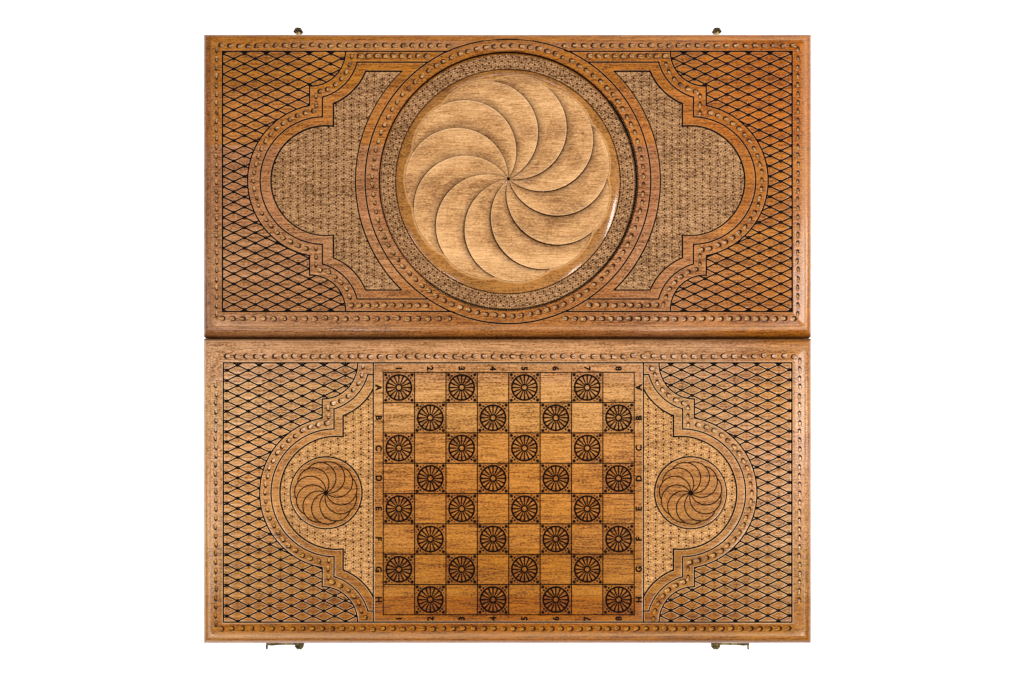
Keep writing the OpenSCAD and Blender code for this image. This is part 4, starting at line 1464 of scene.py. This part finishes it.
def tile(with_wheel):
    """Points, faces and burnt faces of one square, a closed block."""
    plan = Plan()
    hx, hy = square_x / 2, square_y / 2
    for gap in (0.02, 0.55):
        plan.line(corners * (hx - gap, hy - gap), True)
    if with_wheel:
        for r, n, half in ((wheel_r, 48, wheel_line / 2), (hub_r, 16, hub_line / 2)):
            a = np.linspace(0, 2 * math.pi, n + 1)[:-1] + math.pi / n
            for gap in (-half, 0, half):
                plan.line(polar(r + gap, a), True)
        for k in range(spokes):
            turn = k * 2 * math.pi / spokes
            way = np.array((math.cos(turn), math.sin(turn)))
            left = np.array((-way[1], way[0]))
            for gap in (-1, 0, 1):
                plan.line([way * spoke_in + left * gap * spoke_half[0],
                           way * wheel_r + left * gap * spoke_half[1]])
        a = np.radians(np.arange(0, 360, 60))
        for sx, sy in ((-1, -1), (-1, 1), (1, -1), (1, 1)):
            for dx, dy, size in corner_dots:
                spot = np.array((sx * (hx - dx), sy * (hy - dy)))
                plan.line(spot + polar(size, a), True)
                plan.dots([spot])
    flat, tris, _ = meshed(np.concatenate(plan.points), plan.edges, 1e-4)
    rim = np.maximum(np.abs(flat[:, 0]) - hx, np.abs(flat[:, 1]) - hy)
    z = np.where(rim > -0.2, tile_low, 0.0)
    centre = flat[tris].mean(1)
    dark = np.maximum(np.abs(centre[:, 0]) - hx, np.abs(centre[:, 1]) - hy) > -0.54
    if with_wheel:
        inner = np.clip(-wheel_gap(*flat.T) / spoke_half[0], 0, 1)
        z = np.where(rim > -0.6, z, -wheel_deep * inner)
        dark |= wheel_gap(*centre.T) < 0
    outline = np.flatnonzero(rim > -0.2)
    outline = outline[np.arctan2(flat[outline, 1], flat[outline, 0]).argsort()].tolist()
    n, m = len(flat), len(outline)
    points = np.concatenate([np.c_[flat, z],
                             np.c_[flat[outline], np.full(m, pocket + 0.01)]])
    faces = tris.tolist() + [(outline[(k + 1) % m], outline[k], n + k, n + (k + 1) % m)
                             for k in range(m)] + [tuple(n + k for k in reversed(range(m)))]
    return points, faces, list(dark) + [False] * (m + 1)


wheel_points, wheel_faces, wheel_dark = tile(True)
plain_points, plain_faces, plain_dark = tile(False)
tile_mesh = bpy.data.meshes.new("chess_squares")
shift = len(wheel_points)
tile_mesh.from_pydata((np.concatenate([wheel_points, plain_points]) * MM).tolist(), [],
                      wheel_faces + [tuple(i + shift for i in f) for f in plain_faces])
with_wheel = [True] * len(wheel_faces) + [False] * len(plain_faces)
for label, values in (("burnt", wheel_dark + plain_dark), ("wheel", with_wheel),
                      ("deep", with_wheel)):
    store(tile_mesh, label, "FACE", values)

tree, feed = node_tree("chess_squares", [
    ("Squares", "Int"), ("Width", "Float"), ("Depth", "Float"), ("Middle", "Vector"),
    ("Wood", "Material"), ("Burnt", "Material")])
steps = add(tree, "ShaderNodeMath", {0: feed["Squares"], 1: 1.0}, operation="SUBTRACT")
wide, deep = [add(tree, "ShaderNodeMath", {0: feed[side], 1: steps.outputs[0]},
                  operation="MULTIPLY").outputs[0] for side in ("Width", "Depth")]
grid = add(tree, "GeometryNodeMeshGrid", {
    "Size X": wide, "Size Y": deep,
    "Vertices X": feed["Squares"], "Vertices Y": feed["Squares"]})
laid = add(tree, "GeometryNodeTransform", {
    "Geometry": grid.outputs[0], "Translation": feed["Middle"]})
# A square gets a wheel where its number and its column add up to an odd number.
index = add(tree, "GeometryNodeInputIndex").outputs[0]
odd = index
for operation, term in (("DIVIDE", feed["Squares"]), ("FLOOR", 0.0), ("ADD", index),
                        ("MODULO", 2.0)):
    odd = add(tree, "ShaderNodeMath", {0: odd, 1: term}, operation=operation).outputs[0]
wheel_here = add(tree, "FunctionNodeCompare", {"A": odd, "B": 0.5},
                 operation="GREATER_THAN").outputs[0]
plain_here = add(tree, "FunctionNodeBooleanMath", {0: wheel_here},
                 operation="NOT").outputs[0]
parts = add(tree, "GeometryNodeSeparateGeometry", {
    "Geometry": feed["Geometry"], "Selection": marked_faces(tree, "wheel")}, domain="FACE")
both = add(tree, "GeometryNodeJoinGeometry")
for here, part in ((plain_here, parts.outputs[1]), (wheel_here, parts.outputs[0])):
    copies = add(tree, "GeometryNodeInstanceOnPoints", {
        "Points": laid.outputs[0], "Selection": here, "Instance": part})
    tree.links.new(copies.outputs[0], both.inputs[0])
real = add(tree, "GeometryNodeRealizeInstances", {0: both.outputs[0]})
painted(tree, real.outputs[0], feed["Wood"], [("burnt", feed["Burnt"])])
handed_over(grown("chess_squares", tile_mesh, tree, {
    "Squares": 8, "Width": square_x * MM, "Depth": square_y * MM,
    "Middle": (*(chess_heart + field_off) * MM, panel_top * MM),
    "Wood": chess_wood, "Burnt": burnt}), "chess")


# Hinges: two small brass butt hinges let into the spines, with their pins and
# countersunk screws. They are the CAD parts in aged brass.


def metal_finish(name, bright, dull, roughness=0.34, bare=0.0):
    """Cast and tumbled metal: tarnish lies in patches 3 mm wide, with fine scratches.
    Nearer to the wood than bare, in mm from the hinge line, the patina is rubbed off."""
    material, tree, place = blank(name)
    patch = add(tree, "ShaderNodeTexNoise", {
        "Vector": place, "Scale": 330.0, "Detail": 4.0}).outputs["Fac"]
    fine = add(tree, "ShaderNodeTexNoise", {"Vector": place, "Scale": 2500.0})
    tarnish = add(tree, "ShaderNodeValToRGB", {"Fac": patch}, [
        (0.38, dull), (0.62, bright)])
    split = add(tree, "ShaderNodeSeparateXYZ", {0: place})
    away = add(tree, "ShaderNodeMath", {0: split.outputs[1]}, operation="ABSOLUTE")
    near = add(tree, "ShaderNodeMath", {0: away.outputs[0], 1: bare * MM},
               operation="LESS_THAN")
    colour = add(tree, "ShaderNodeMix", {
        0: near.outputs[0], 6: tarnish.outputs["Color"], 7: "#d8bd80"}, data_type="RGBA")
    sheen = add(tree, "ShaderNodeMapRange", {
        0: patch, 1: 0.3, 2: 0.7, 3: roughness + 0.15, 4: roughness - 0.05})
    surfaced(tree, fine.outputs["Fac"], 0.25, 0.00005, {
        "Base Color": colour.outputs[2], "Roughness": sheen.outputs[0], "Metallic": 1.0})
    return material


# Brass, lacquered and handled: yellow where it is rubbed, brown in the corners.
dress("{side}_hinge_{half}_leaf hinge_pins {half}_hinge_screws",
      metal_finish("aged_brass", "#a8894e", "#6e5428"))


# Latches: two brass hooks on their screws and spacers, and the two studs they catch.
# They are the CAD parts, in brass that was never polished and has gone brown.

# Browned brass: the latches went dark olive, and only worn edges still shine.
dress("{side}_hook_pivot {side}_hook_washer {side}_hook",
      metal_finish("browned_brass", "#6d5d38", "#2c2416", 0.4))
# The hooks keep the necks of the studs bright.
dress("{side}_latch_stud",
      metal_finish("browned_brass_stud", "#5a4c2c", "#1c170e", 0.4, bare=306.6))


# Size: the box of the CAD model and the box of the dressed model, side by side.

[[list(map(float, p)) for p in box] for box in (cad_box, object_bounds())]
